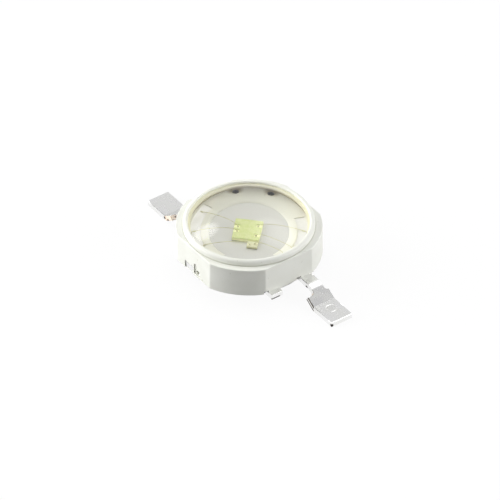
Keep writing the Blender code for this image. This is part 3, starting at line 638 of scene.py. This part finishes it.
# housing
housing = {
    "steps": 120,
    "skirtFoot": 0.46,
    "skirtRadius": 3.40,
    "wallFoot": 0.84,
    "wallTop": 2.55,
    "bodyRadius": 4.00,
    "draft": 0.03,
    "ringRadius": 3.61,
    "ringTop": 2.88,
    "ringBore": 3.34,
    "ringOuterRound": 0.18,
    "ringInnerRound": 0.07,
    "lensSeat": 2.29,
    "cavityRadius": 3.05,
    "shelf": 1.39,
    "neckPocket": 1.908,
    "neckSlope": 0.18,
    "slugTop": 1.29,
    "flange": 0.678,
    "slugPocket": 2.758,
    "endFlat": 3.69,
    "sideFlat": 3.70,
    "wallRound": 0.05,
    "skirtRound": 0.04,
    # room over each lead's arm: where its arc starts, and from there its ends in degrees
    "windowStarts": (9, 189),
    "windowEnds": (1.8, 69.2),
    "windowRadii": (2.32, 2.88),
    "windowDepth": 0.16,
    "windowRise": 0.1,
    # holes of the mould's pins
    "holeRadius": 0.17,
    "holeDepth": 0.28,
    "holeCircle": 2.78,
    "holeAngles": (123, 157, 303, 337),
    "holeSpan": 4,  # half the angle that one hole takes up
    # square notches beside the roots of the leads and tabs
    "notch": 0.27,
    "notchLevel": 0.89,
    "notchMiddles": (0.65, -1.495),
    # in each side flat: sizes of the cutters, and their middles along the flat and up
    "pocket": (0.15, 0.78, 1.00),
    "pocketMiddle": (-0.40, 0.84),
    "recess": (0.15, 0.54, 0.66),
    "recessMiddle": (0.32, 1.31),
    "bore": (0.13, 0.70),
    "boreMiddle": (0.32, 1.11),
    "cutterShift": 0.015,
    "slack": 0.005,
    "tolerance": (0.02, 0.001),  # to find edges by radius and level
}


def cutFlat(shape, distance, degrees):
    lean = housing["draft"] / (housing["wallTop"] - housing["wallFoot"])
    angle = math.radians(degrees)
    outward = Vector((math.cos(angle), math.sin(angle), 0))
    cut = bmesh.ops.bisect_plane(
        shape,
        geom=[*shape.verts, *shape.edges, *shape.faces],
        dist=0.0001,
        plane_co=outward * distance + Vector((0, 0, housing["wallTop"])),
        plane_no=outward + Vector((0, 0, lean)),
        clear_outer=True,
    )
    rim = [item for item in cut["geom_cut"] if isinstance(item, bmesh.types.BMEdge)]
    bmesh.ops.edgeloop_fill(shape, edges=rim)


def makeArc(inner, outer, start, end, foot, top, steps=28):
    shape = bmesh.new()
    corners = [(inner, foot), (outer, foot), (outer, top), (inner, top)]
    verts = [shape.verts.new((radius, 0, level)) for radius, level in corners]
    face = shape.faces.new(verts)
    turnShape(shape, start)
    bmesh.ops.spin(
        shape, geom=[face], cent=(0, 0, 0), axis=(0, 0, 1), angle=math.radians(end - start), steps=steps
    )
    bmesh.ops.recalc_face_normals(shape, faces=shape.faces)
    return shape


def inHole(middle):
    h = housing
    if abs(middle.xy.length - h["holeCircle"]) > h["holeRadius"] + 2 * h["slack"]:
        return False
    if not h["shelf"] - h["holeDepth"] - 2 * h["slack"] < middle.z < h["shelf"] - h["slack"]:
        return False
    angle = math.degrees(math.atan2(middle.y, middle.x)) % 360
    return min(abs(angle - hole) for hole in h["holeAngles"]) < h["holeSpan"]


def inNotch(middle):
    h = housing
    half = h["notch"] / 2 + h["slack"]
    if abs(middle.z - h["notchLevel"]) > half:
        return False
    if not h["endFlat"] - half < abs(middle.x) < h["endFlat"] - 2 * h["slack"]:
        return False
    along = math.copysign(1, middle.x) * middle.y
    return min(abs(along - notch) for notch in h["notchMiddles"]) < half


def makeHousing():
    h = housing
    profile = [
        (h["slugPocket"], h["skirtFoot"]),
        (h["skirtRadius"], h["skirtFoot"]),
        (h["skirtRadius"], h["wallFoot"]),
        (h["bodyRadius"] + h["draft"], h["wallFoot"]),
        (h["bodyRadius"], h["wallTop"]),
        (h["ringRadius"], h["wallTop"]),
        (h["ringRadius"], h["ringTop"]),
        (h["ringBore"], h["ringTop"]),
        (h["ringBore"], h["lensSeat"]),
        (h["cavityRadius"], h["lensSeat"]),
        (h["cavityRadius"], h["shelf"]),
        (h["neckPocket"] + h["neckSlope"], h["shelf"]),
        (h["neckPocket"], h["slugTop"]),
        (h["neckPocket"], h["flange"]),
        (h["slugPocket"], h["flange"]),
    ]
    shape = spinProfile(profile, h["steps"], closed=True)
    for degrees in (0, 90, 180, 270):
        cutFlat(shape, h["sideFlat"] if degrees % 180 else h["endFlat"], degrees)
    bmesh.ops.recalc_face_normals(shape, faces=shape.faces)

    def atRadius(edge, radius, level):
        beside, above = h["tolerance"]
        spots = [(vert.co.xy.length, vert.co.z) for vert in edge.verts]
        return all(abs(far - radius) < beside and abs(high - level) < above for far, high in spots)

    softenEdges(shape, h["ringOuterRound"], 5, lambda edge: atRadius(edge, h["ringRadius"], h["ringTop"]))
    softenEdges(shape, h["ringInnerRound"], 4, lambda edge: atRadius(edge, h["ringBore"], h["ringTop"]))
    wallInside = (h["ringRadius"] + h["sideFlat"]) / 2
    softenEdges(
        shape, h["wallRound"], 3, lambda edge: all(vert.co.xy.length > wallInside for vert in edge.verts)
    )
    softenEdges(shape, h["skirtRound"], 2, lambda edge: atRadius(edge, h["skirtRadius"], h["skirtFoot"]))

    cutters = []
    for start in h["windowStarts"]:
        ends = [start + angle for angle in h["windowEnds"]]
        foot, top = h["shelf"] - h["windowDepth"], h["shelf"] + h["windowRise"]
        cutters.append(makeArc(*h["windowRadii"], *ends, foot, top))
    for degrees in h["holeAngles"]:
        hole = makeRod(h["holeRadius"], 2 * h["holeDepth"], (h["holeCircle"], 0, h["shelf"]))
        cutters.append(turnShape(hole, degrees))
    for turn in (0, 180):
        for middle in h["notchMiddles"]:
            notch = makeBlock((h["notch"],) * 3, (h["endFlat"], middle, h["notchLevel"]))
            cutters.append(turnShape(notch, turn))
    for turn in (-90, 90):
        outside = h["sideFlat"] + h["cutterShift"]
        pocket = makeBlock(h["pocket"], (outside, *h["pocketMiddle"]))
        recess = makeBlock(h["recess"], (outside, *h["recessMiddle"]))
        bore = turnShape(makeRod(*h["bore"], (0, 0, 0), 20), 90, "Y")
        moveShape(bore, (h["sideFlat"], *h["boreMiddle"]))
        cutters += [turnShape(cutter, turn) for cutter in (pocket, recess, bore)]
    shape = combineShapes(shape, cutters, "DIFFERENCE")
    # the faces of the holes and notches get the painted shade
    for face in shape.faces:
        middle = face.calc_center_median()
        if inHole(middle) or inNotch(middle):
            face.material_index = 1
    finishPiece("whiteHousing", shape, [whitePlastic, paintedHoleShade], ["housing"])


makeHousing()
print("housing done")


# heat slug
slug = {
    "steps": 120,
    "top": 1.29,
    "neckRadius": 1.905,
    "flange": 0.67,
    "baseRadius": 2.75,
    "edge": 0.10,
    "rounding": 0.012,
}


def makeSlug():
    s = slug
    profile = [
        (0, s["top"]),
        (s["neckRadius"], s["top"]),
        (s["neckRadius"], s["flange"]),
        (s["baseRadius"], s["flange"]),
        (s["baseRadius"], s["edge"]),
        (s["baseRadius"] - s["edge"], 0),
        (0, 0),
    ]
    shape = spinProfile(profile, s["steps"])
    softenEdges(shape, s["rounding"], 2)
    finishPiece("platedSlug", shape, [slugPlate], ["heat_slug"])


makeSlug()
print("slug done")


# leads and the cut bars of the lead frame
lead = {
    "thickness": 0.31,
    "armInner": 2.25,
    "armOuter": 2.95,
    "armTop": 1.34,
    "armStart": 9,
    "armEnd": 80,
    "barStart": 2.6,  # the bar's inner end, inside the arm
    "neckMiddle": 1.11,
    "neckWidth": 0.72,
    "neckTop": 0.94,
    "bendCorner": 4.575,  # where the neck's and the slope's middles would meet
    "bendRadius": 0.80,
    "bendSteps": 12,
    "creaseRadius": 0.165,
    "creaseSteps": 8,
    "slope": 33,
    "stepAngle": 45,
    "stepRadius": 0.195,
    "stepSteps": 4,
    "stepSetback": 0.03,
    "sunk": 0.004,  # the bar's top lies this far under the arm's
    "earSetback": 0.485,  # from that corner to the ears
    "earInner": 0.44,
    "earOuter": 0.22,
    "fillet": 0.20,
    "filletSteps": 9,
    "tip": 7.22,
    "edge": 0.022,
    "sharpFrom": 12,
    "sideways": 0.7,  # least share of a cut side's normal
    "shoulderNormal": (-0.3, 0.75),  # most along X, and most up or down
    # cut faces that show copper, or burr with painted shade: from and to along X, and on which side of a
    # place along Y
    "shoulder": (4.80, 5.20),
    "outerSide": (4.90, 5.60, 1.5),
    "innerSide": (4.95, 5.60, 0.5),
}
tab = {"back": 2.81, "tip": 4.07, "width": 0.73, "middle": -1.03, "top": 0.94}
tie = {"back": 3.20, "tip": 3.67, "width": 0.74, "middle": -0.40, "top": 1.24}
anchor = {"head": 0.18, "overhang": 0.11, "shoulder": 0.02}  # wider inner end of a tab or tie


class Bar:
    # a flat bar that grows from its end face: forward, round a bend, or wider

    def __init__(self, start, low, high, middleLevel, thickness):
        self.shape = bmesh.new()
        half = thickness / 2
        corners = [(low, -half), (high, -half), (high, half), (low, half)]
        verts = [self.shape.verts.new((start, y, middleLevel + z)) for y, z in corners]
        self.face = self.shape.faces.new(verts)
        self.direction = 0.0
        self.low, self.high = low, high

    def widen(self, low, high, run):
        grown = bmesh.ops.extrude_face_region(self.shape, geom=[self.face])
        self.face = next(item for item in grown["geom"] if isinstance(item, bmesh.types.BMFace))
        step = Vector((math.cos(self.direction), 0, math.sin(self.direction))) * run
        middle = (self.low + self.high) / 2
        for vert in self.face.verts:
            vert.co.y = low if vert.co.y < middle else high
            vert.co += step
        self.low, self.high = low, high

    def forward(self, run):
        self.widen(self.low, self.high, run)

    def bend(self, degrees, radius, steps):
        side = math.copysign(1, degrees)
        across = Vector((-math.sin(self.direction), 0, math.cos(self.direction))) * side
        turned = bmesh.ops.spin(
            self.shape,
            geom=[self.face],
            cent=self.face.calc_center_median() + across * radius,
            axis=(0, -1, 0),
            angle=math.radians(degrees),
            steps=steps,
        )
        self.face = next(item for item in turned["geom_last"] if isinstance(item, bmesh.types.BMFace))
        self.direction += math.radians(degrees)

    def finish(self, edge):
        bmesh.ops.remove_doubles(self.shape, verts=self.shape.verts, dist=0.0001)
        bmesh.ops.recalc_face_normals(self.shape, faces=self.shape.faces)
        softenEdges(self.shape, edge, 2, leastAngle=30)
        return self.shape


def growLead():
    k = lead
    half = k["thickness"] / 2
    low, high = k["neckMiddle"] - k["neckWidth"] / 2, k["neckMiddle"] + k["neckWidth"] / 2
    armTop = k["armTop"] - k["sunk"]
    stepStart = k["armOuter"] + k["stepSetback"]
    stepAngle = math.radians(k["stepAngle"])
    drop = armTop - k["neckTop"] - 2 * k["stepRadius"] * (1 - math.cos(stepAngle))
    stepRun = drop / math.sin(stepAngle)
    stepLength = 2 * k["stepRadius"] * math.sin(stepAngle) + stepRun * math.cos(stepAngle)
    slope = math.radians(k["slope"])
    reach = (k["neckTop"] - k["thickness"]) / math.sin(slope)
    bendHalf, creaseHalf = (k[name] * math.tan(slope / 2) for name in ("bendRadius", "creaseRadius"))
    footStart = k["bendCorner"] + reach * math.cos(slope) + creaseHalf
    filletStart = k["earSetback"] - k["fillet"] - bendHalf
    bar = Bar(k["barStart"], low, high, armTop - half, k["thickness"])
    bar.forward(stepStart - k["barStart"])
    bar.bend(-k["stepAngle"], k["stepRadius"], k["stepSteps"])
    bar.forward(stepRun)
    bar.bend(k["stepAngle"], k["stepRadius"], k["stepSteps"])
    bar.forward(k["bendCorner"] - bendHalf - stepStart - stepLength)
    bar.bend(-k["slope"], k["bendRadius"], k["bendSteps"])
    bar.forward(filletStart)
    done = 0.0
    for step in range(1, k["filletSteps"]):
        turn = math.radians(90 * step / k["filletSteps"])
        run = k["fillet"] * math.sin(turn)
        out = k["fillet"] * (1 - math.cos(turn))
        bar.widen(low - out, high + out, run - done)
        done = run
    bar.widen(low - k["earInner"], high + k["earOuter"], k["fillet"] - done)
    bar.forward(reach - bendHalf - creaseHalf - filletStart - k["fillet"])
    bar.bend(k["slope"], k["creaseRadius"], k["creaseSteps"])
    bar.forward(k["tip"] - footStart)
    return bar.finish(k["edge"])


def markBare(shape, amount):
    layer = shape.faces.layers.float.new("bare")
    for face in shape.faces:
        face[layer] = amount(face.calc_center_median(), face.normal)


def bareLead(place, normal):
    back, lean = lead["shoulderNormal"]
    low, high = lead["shoulder"]
    if low < place.x < high and normal.x < back and abs(normal.z) < lean:
        return bare["copper"]
    low, high, edge = lead["outerSide"]
    if low < place.x < high and normal.y > lead["sideways"] and place.y > edge:
        return bare["copper"]
    low, high, edge = lead["innerSide"]
    if low < place.x < high and normal.y < -lead["sideways"] and place.y < edge:
        return bare["burrAndShade"]
    return bare["plated"]


def makeGroove():
    m = pressMark
    inner, outer, depth, lean = m["inner"], m["outer"], m["depth"], m["lean"]
    points = [
        (inner + lean, -depth),
        (outer - lean, -depth),
        (outer + lean, depth),
        (inner - lean, depth),
    ]
    return moveShape(spinProfile(points, m["steps"], closed=True), m["place"])


def makeLeads():
    k = lead
    foot = k["armTop"] - k["thickness"]
    for turn, name, node in ((0, "platedLeadRight", "lead_right"), (180, "platedLeadLeft", "lead_left")):
        arm = makeArc(k["armInner"], k["armOuter"], k["armStart"], k["armEnd"], foot, k["armTop"])
        shape = combineShapes(growLead(), [arm], "UNION")
        bmesh.ops.recalc_face_normals(shape, faces=shape.faces)
        if turn == 0:  # only this foot shows the mark
            shape = combineShapes(shape, [makeGroove()], "DIFFERENCE")
        shape.normal_update()
        markBare(shape, bareLead)
        finishPiece(name, turnShape(shape, turn), [leadPlate], [node], k["sharpFrom"])


def makeCutBar(name, node, turn, cut):
    low, high = cut["middle"] - cut["width"] / 2, cut["middle"] + cut["width"] / 2
    thickness, overhang = lead["thickness"], anchor["overhang"]
    bar = Bar(cut["back"], low - overhang, high + overhang, cut["top"] - thickness / 2, thickness)
    bar.forward(anchor["head"])
    bar.widen(low, high, anchor["shoulder"])
    bar.forward(cut["tip"] - cut["back"] - anchor["head"] - anchor["shoulder"])
    shape = bar.finish(lead["edge"])
    markBare(shape, lambda place, normal: bare["plated"])
    finishPiece(name, turnShape(shape, turn), [leadPlate], [node])


makeLeads()
makeCutBar("cutTabRight", "end_tab_right", 0, tab)
makeCutBar("cutTabLeft", "end_tab_left", 180, tab)
makeCutBar("tieBarRear", "tie_bar_rear", 90, tie)
makeCutBar("tieBarFront", "tie_bar_front", 270, tie)
print("leads and bars done")


# die, its coat, the diode and the solder under both
die = {
    "turn": 45,
    "place": (-0.07, -0.03),
    "side": 1.30,
    "foot": 1.318,
    "height": 0.14,
    "edge": 0.008,
    "coatFoot": 1.462,
    "coatHeight": 0.05,
    "coatEdge": 0.014,
    "bondInset": 0.18,
    "opening": 0.20,
    "openingEdge": 0.03,
    "leftSpread": 0.15,
    "rightSpread": 0.32,
    "solderFoot": 1.294,
    "solderHeight": 0.02,
    "solderMargin": 0.02,
}
diode = {"place": (0.31, -0.92), "size": (0.50, 0.36, 0.11), "bond": (0.11, 0.04)}


def dieBonds():
    x, y = die["place"]
    side = die["side"] / 2 - die["bondInset"]
    near, far = die["leftSpread"], die["rightSpread"]
    return [(x - side, y + near), (x - side, y - near), (x + side, y + far), (x + side, y - far)]


def makeSolderPad(name, node, place, width, length):
    margin, height = die["solderMargin"], die["solderHeight"]
    size = (width + 2 * margin, length + 2 * margin, height)
    pad = makeBlock(size, (*place, die["solderFoot"] + height / 2), die["edge"])
    finishPiece(name, turnShape(pad, die["turn"]), [dullSolder], [node])


def makeDie():
    d = die
    x, y = d["place"]
    side = d["side"]
    body = makeBlock((side, side, d["height"]), (x, y, d["foot"] + d["height"] / 2), d["edge"])
    finishPiece("lightDie", turnShape(body, d["turn"]), [dieCrystal], ["led_die"])
    level = d["coatFoot"] + d["coatHeight"] / 2
    coat = makeBlock((side, side, d["coatHeight"]), (x, y, level), d["coatEdge"])
    size = (d["opening"] / 2 + d["bondInset"], d["opening"], 4 * d["coatHeight"])
    notches = []
    for bondX, bondY in dieBonds():
        outward = math.copysign(d["bondInset"] / 2 - d["opening"] / 4, bondX - x)
        notches.append(makeBlock(size, (bondX + outward, bondY, d["coatFoot"]), d["openingEdge"]))
    coat = combineShapes(coat, notches, "DIFFERENCE")
    finishPiece("dieCoat", turnShape(coat, d["turn"]), [phosphorCoat], ["phosphor_coat"])
    makeSolderPad("dieSolder", "die_solder", d["place"], side, side)


def makeDiode():
    width, length, height = diode["size"]
    body = makeBlock(diode["size"], (*diode["place"], die["foot"] + height / 2), die["edge"])
    turnShape(body, die["turn"])
    finishPiece("guardDiode", body, [diodeCrystal], ["protection_diode"])
    makeSolderPad("diodeSolder", "diode_solder", diode["place"], width, length)


makeDie()
makeDiode()
print("die and diode done")


# bond wires
wire = {
    "radius": 0.0125,
    "loop": 0.26,
    "handles": ((0.05, 1.3), (0.55, 0.9)),  # shares of the run and of the loop's height
    "points": 26,
    "startLift": 0.03,
    "endLift": 0.02,
    "ball": 0.036,
    "ballLift": 0.02,
    "ballFlatness": 0.5,
    "stitch": 0.04,
    "stitchLift": 0.008,
    "stitchFlatness": 0.4,
    "stitchLength": 2.6,
    "pad": (0.05, 0.008),  # radius and height
    # share of the arm's width and angle at which each wire lands
    "landings": ((0.57, -159), (0.57, -129), (0.57, 58), (0.28, 28), (0.28, -105), (0.28, 15)),
}


def turnedPlace(place, level):
    return Matrix.Rotation(math.radians(die["turn"]), 3, "Z") @ Vector((*place, level))


def wireRoute(start, end):
    along = Vector((end.x - start.x, end.y - start.y, 0))
    loop = Vector((0, 0, wire["loop"]))
    handles = [start, *(start + run * along + rise * loop for run, rise in wire["handles"]), end]
    points = []
    for step in range(wire["points"]):
        t = step / (wire["points"] - 1)
        weights = ((1 - t) ** 3, 3 * t * (1 - t) ** 2, 3 * t * t * (1 - t), t**3)
        points.append(sum((weight * handle for weight, handle in zip(weights, handles)), Vector()))
    return points


def makeTube(points, radius):
    curve = bpy.data.curves.new("tube", "CURVE")
    curve.dimensions = "3D"
    curve.bevel_depth = radius
    curve.bevel_resolution = 3
    curve.use_fill_caps = True
    spline = curve.splines.new("POLY")
    spline.points.add(len(points) - 1)
    for point, place in zip(spline.points, points):
        point.co = (*place, 1)
    holder = addObject("tube", curve)
    shape = readShape(holder)
    bpy.data.objects.remove(holder)
    bpy.data.curves.remove(curve)
    return shape


def makeBall(place, radius, flatness, length=1.0, degrees=0.0):
    shape = bmesh.new()
    bmesh.ops.create_uvsphere(shape, u_segments=16, v_segments=10, radius=radius)
    bmesh.ops.scale(shape, verts=shape.verts, vec=(length, 1, flatness))
    return moveShape(turnShape(shape, degrees), place)


def raised(place, height):
    return place + Vector((0, 0, height))


def makeWires():
    dieTop = die["foot"] + die["height"]
    diodeTop = die["foot"] + diode["size"][2]
    bonds = [turnedPlace(bond, dieTop) for bond in dieBonds()]
    for side in (-1, 1):
        place = [diode["place"][axis] + side * diode["bond"][axis] for axis in (0, 1)]
        bonds.append(turnedPlace(place, diodeTop))
    padRadius, padHeight = wire["pad"]
    for number, (bond, (share, degrees)) in enumerate(zip(bonds, wire["landings"]), start=1):
        angle = math.radians(degrees)
        radius = lead["armInner"] + share * (lead["armOuter"] - lead["armInner"])
        landing = Vector((radius * math.cos(angle), radius * math.sin(angle), lead["armTop"]))
        start = raised(bond, wire["startLift"])
        end = raised(landing, wire["endLift"])
        heading = math.degrees(math.atan2(end.y - start.y, end.x - start.x))
        tube = makeTube(wireRoute(start, end), wire["radius"])
        ball = makeBall(raised(bond, wire["ballLift"]), wire["ball"], wire["ballFlatness"])
        foot = raised(landing, wire["stitchLift"])
        stitch = makeBall(foot, wire["stitch"], wire["stitchFlatness"], wire["stitchLength"], heading)
        pad = makeRod(padRadius, padHeight, raised(bond, padHeight / 2), 20)
        shape = addShapes([tube, ball, stitch, pad])
        finishPiece(f"goldBond{number}", shape, [goldWire], [f"bond_wire_{number}"])


makeWires()
print("bond wires done")


# lens and gel as one clear optic
optic = {
    "steps": 144,
    "rimRadius": 3.325,
    "rimTop": 2.814,
    "rise": 0.84,
    "edge": 0.03,
    "seat": 2.285,
    "cavity": 3.06,
    "window": 1.31,
    "neck": 1.98,
    "foot": 1.275,
    "domeSteps": 48,
    "sharpFrom": 30,
}


def domePoints(rim, level, rise, steps):
    sphere = (rim**2 + rise**2) / (2 * rise)
    middle = level + rise - sphere
    half = math.asin(rim / sphere)
    angles = [half * step / steps for step in range(steps + 1)]
    return [(sphere * math.sin(angle), middle + sphere * math.cos(angle)) for angle in angles]


def makeOptic():
    o = optic
    points = domePoints(o["rimRadius"] - o["edge"], o["rimTop"], o["rise"], o["domeSteps"])
    points += [
        (o["rimRadius"], o["rimTop"] - o["edge"]),
        (o["rimRadius"], o["seat"]),
        (o["cavity"], o["seat"]),
        (o["cavity"], o["window"]),
        (o["neck"], o["window"]),
        (o["neck"], o["foot"]),
        (0, o["foot"]),
    ]
    shape = spinProfile(points, o["steps"])
    nodes = ["lens", "silicone_gel"]
    finishPiece("clearLens", shape, [clearOptic], nodes, o["sharpFrom"])


makeOptic()
print("optic done")


# floor
floorLook = {
    "shader": {"Roughness": 0.9, "Specular IOR Level": 0.1},
    "spots": {"Patch": 60.0, "Grain": 4000.0, "Speck": 0.8},
    "halfSize": 1.5,
    "light": colour(146, 146, 146),
    "dark": colour(140, 140, 140),
    "seen": colour(252, 252, 252),  # to the camera and in reflections it is white paper
    "glow": 0.93,  # share of that white that keeps no shadow
}


def makeFloor():
    look = floorLook
    shape = bmesh.new()
    bmesh.ops.create_grid(shape, x_segments=8, y_segments=8, size=look["halfSize"])
    floor = holdShape(shape, "paperFloor")
    finish, tree, shader, place = newFinish("whitePaper", look["shader"])
    spots = useGroup(tree, mottle, Vector=place, **look["spots"])
    base = addMix(tree, spots["Patches"], look["light"], look["dark"])
    glow = addNode(tree, "ShaderNodeEmission")
    rays = addNode(tree, "ShaderNodeLightPath").outputs
    seen = addMath(tree, "MAXIMUM", rays["Is Camera Ray"], rays["Is Glossy Ray"])
    seen = addMath(tree, "MAXIMUM", seen, rays["Is Transmission Ray"])
    feed(tree, shader.inputs["Base Color"], addMix(tree, seen, base, look["seen"]))
    mixShaders(tree, addProduct(tree, seen, look["glow"]), shader, glow, "Material Output")
    floor.data.materials.append(finish)


makeFloor()


# light
def aimed(turn, height):
    turn, height = math.radians(turn), math.radians(height)
    return Vector((math.cos(height) * math.cos(turn), math.cos(height) * math.sin(turn), math.sin(height)))


lamps = {
    # turn and height in degrees, distance and size in metres, radiance of its face
    "softboxSide": (-130, 11, 0.30, 0.26, 7.7),
    "fillRight": (38, 11, 0.30, 0.25, 4.6),
}


def makeLamps():
    for name, (turn, height, distance, size, radiance) in lamps.items():
        light = bpy.data.lights.new(name, "AREA")
        light.shape = "SQUARE"
        light.size = size
        light.energy = radiance * math.pi * size * size
        lamp = addObject(name, light)
        away = aimed(turn, height)
        lamp.location = away * distance
        lamp.rotation_euler = away.to_track_quat("Z", "Y").to_euler()


sky = {
    "rear": 0.66,
    "front": 0.02,
    "mirroredFront": 0.30,  # what metal shows of the front
    "frontPlace": (-27, 20),  # turn and height in degrees
    "span": (-0.2, 0.85),  # how near to the front, as a cosine, the rear ends and the front begins
}
glows = (
    # soft bright places in the sky: turn and height, half width of core and of whole in degrees, radiance
    (-171, 45, 3, 11, 5.5),
    (108, 60, 8, 20, 1.5),
    (55, 56, 8, 22, 0.08),
    (144, 39, 5, 20, 0.09),
    (-60, 82, 12, 40, 0.32),
)


def makeSky():
    world = bpy.data.worlds.new("studio")
    bpy.context.scene.world = world
    world.use_nodes = True
    tree = world.node_tree
    place = addNode(tree, "ShaderNodeTexCoord").outputs["Generated"]
    rays = addNode(tree, "ShaderNodeLightPath").outputs
    front = addSpread(tree, rays["Is Glossy Ray"], 0.0, 1.0, sky["front"], sky["mirroredFront"])
    toFront = addVectorMath(tree, "DOT_PRODUCT", place, aimed(*sky["frontPlace"]))["Value"]
    level = addSpread(tree, toFront, *sky["span"], sky["rear"], front)
    for turn, height, core, whole, radiance in glows:
        toGlow = addVectorMath(tree, "DOT_PRODUCT", place, aimed(turn, height))["Value"]
        edge, middle = math.cos(math.radians(whole)), math.cos(math.radians(core))
        level = addMath(tree, "ADD", level, addSpread(tree, toGlow, edge, middle, 0.0, radiance))
    light = tree.nodes["Background"]
    light.inputs["Color"].default_value = (1, 1, 1, 1)
    feed(tree, light.inputs["Strength"], level)
    white = addNode(tree, "ShaderNodeBackground", label="white")
    mixShaders(tree, rays["Is Camera Ray"], light, white, "World Output")


makeLamps()
makeSky()
print("floor and light done")


# camera
view = {
    "turn": 54.3185,  # degrees that the camera's right hand is turned from +X
    "height": 39.035,
    "distance": 0.41667,
    "frame": 500,  # pixels
    "pixelsPerMetre": 18343,
    "middle": (248.973, 248.970),  # pixel of the point on the axis level with the wall's foot
    "level": 0.84 * mm,
    "sensor": 36,
    "clip": (0.01, 10),
}


def makeCamera():
    turn, height = math.radians(view["turn"]), math.radians(view["height"])
    right = Vector((math.cos(turn), math.sin(turn), 0))
    away = Vector((-math.sin(turn), math.cos(turn), 0))
    up = math.sin(height) * away + math.cos(height) * Vector((0, 0, 1))
    toward = math.sin(height) * Vector((0, 0, 1)) - math.cos(height) * away
    middle = view["frame"] / 2
    aside = (middle - view["middle"][0]) / view["pixelsPerMetre"]
    above = (view["middle"][1] - middle) / view["pixelsPerMetre"]
    target = Vector((0, 0, view["level"])) + aside * right + above * up
    data = bpy.data.cameras.new("photoView")
    data.sensor_width = view["sensor"]
    data.lens = view["pixelsPerMetre"] * view["distance"] * view["sensor"] / view["frame"]
    data.clip_start, data.clip_end = view["clip"]
    camera = addObject("photoView", data)
    facing = Matrix((right, up, toward)).transposed().to_4x4()
    camera.matrix_world = Matrix.Translation(target + view["distance"] * toward) @ facing
    bpy.context.scene.camera = camera


makeCamera()
bpy.context.scene.view_settings.view_transform = "Standard"

print("scene ready")
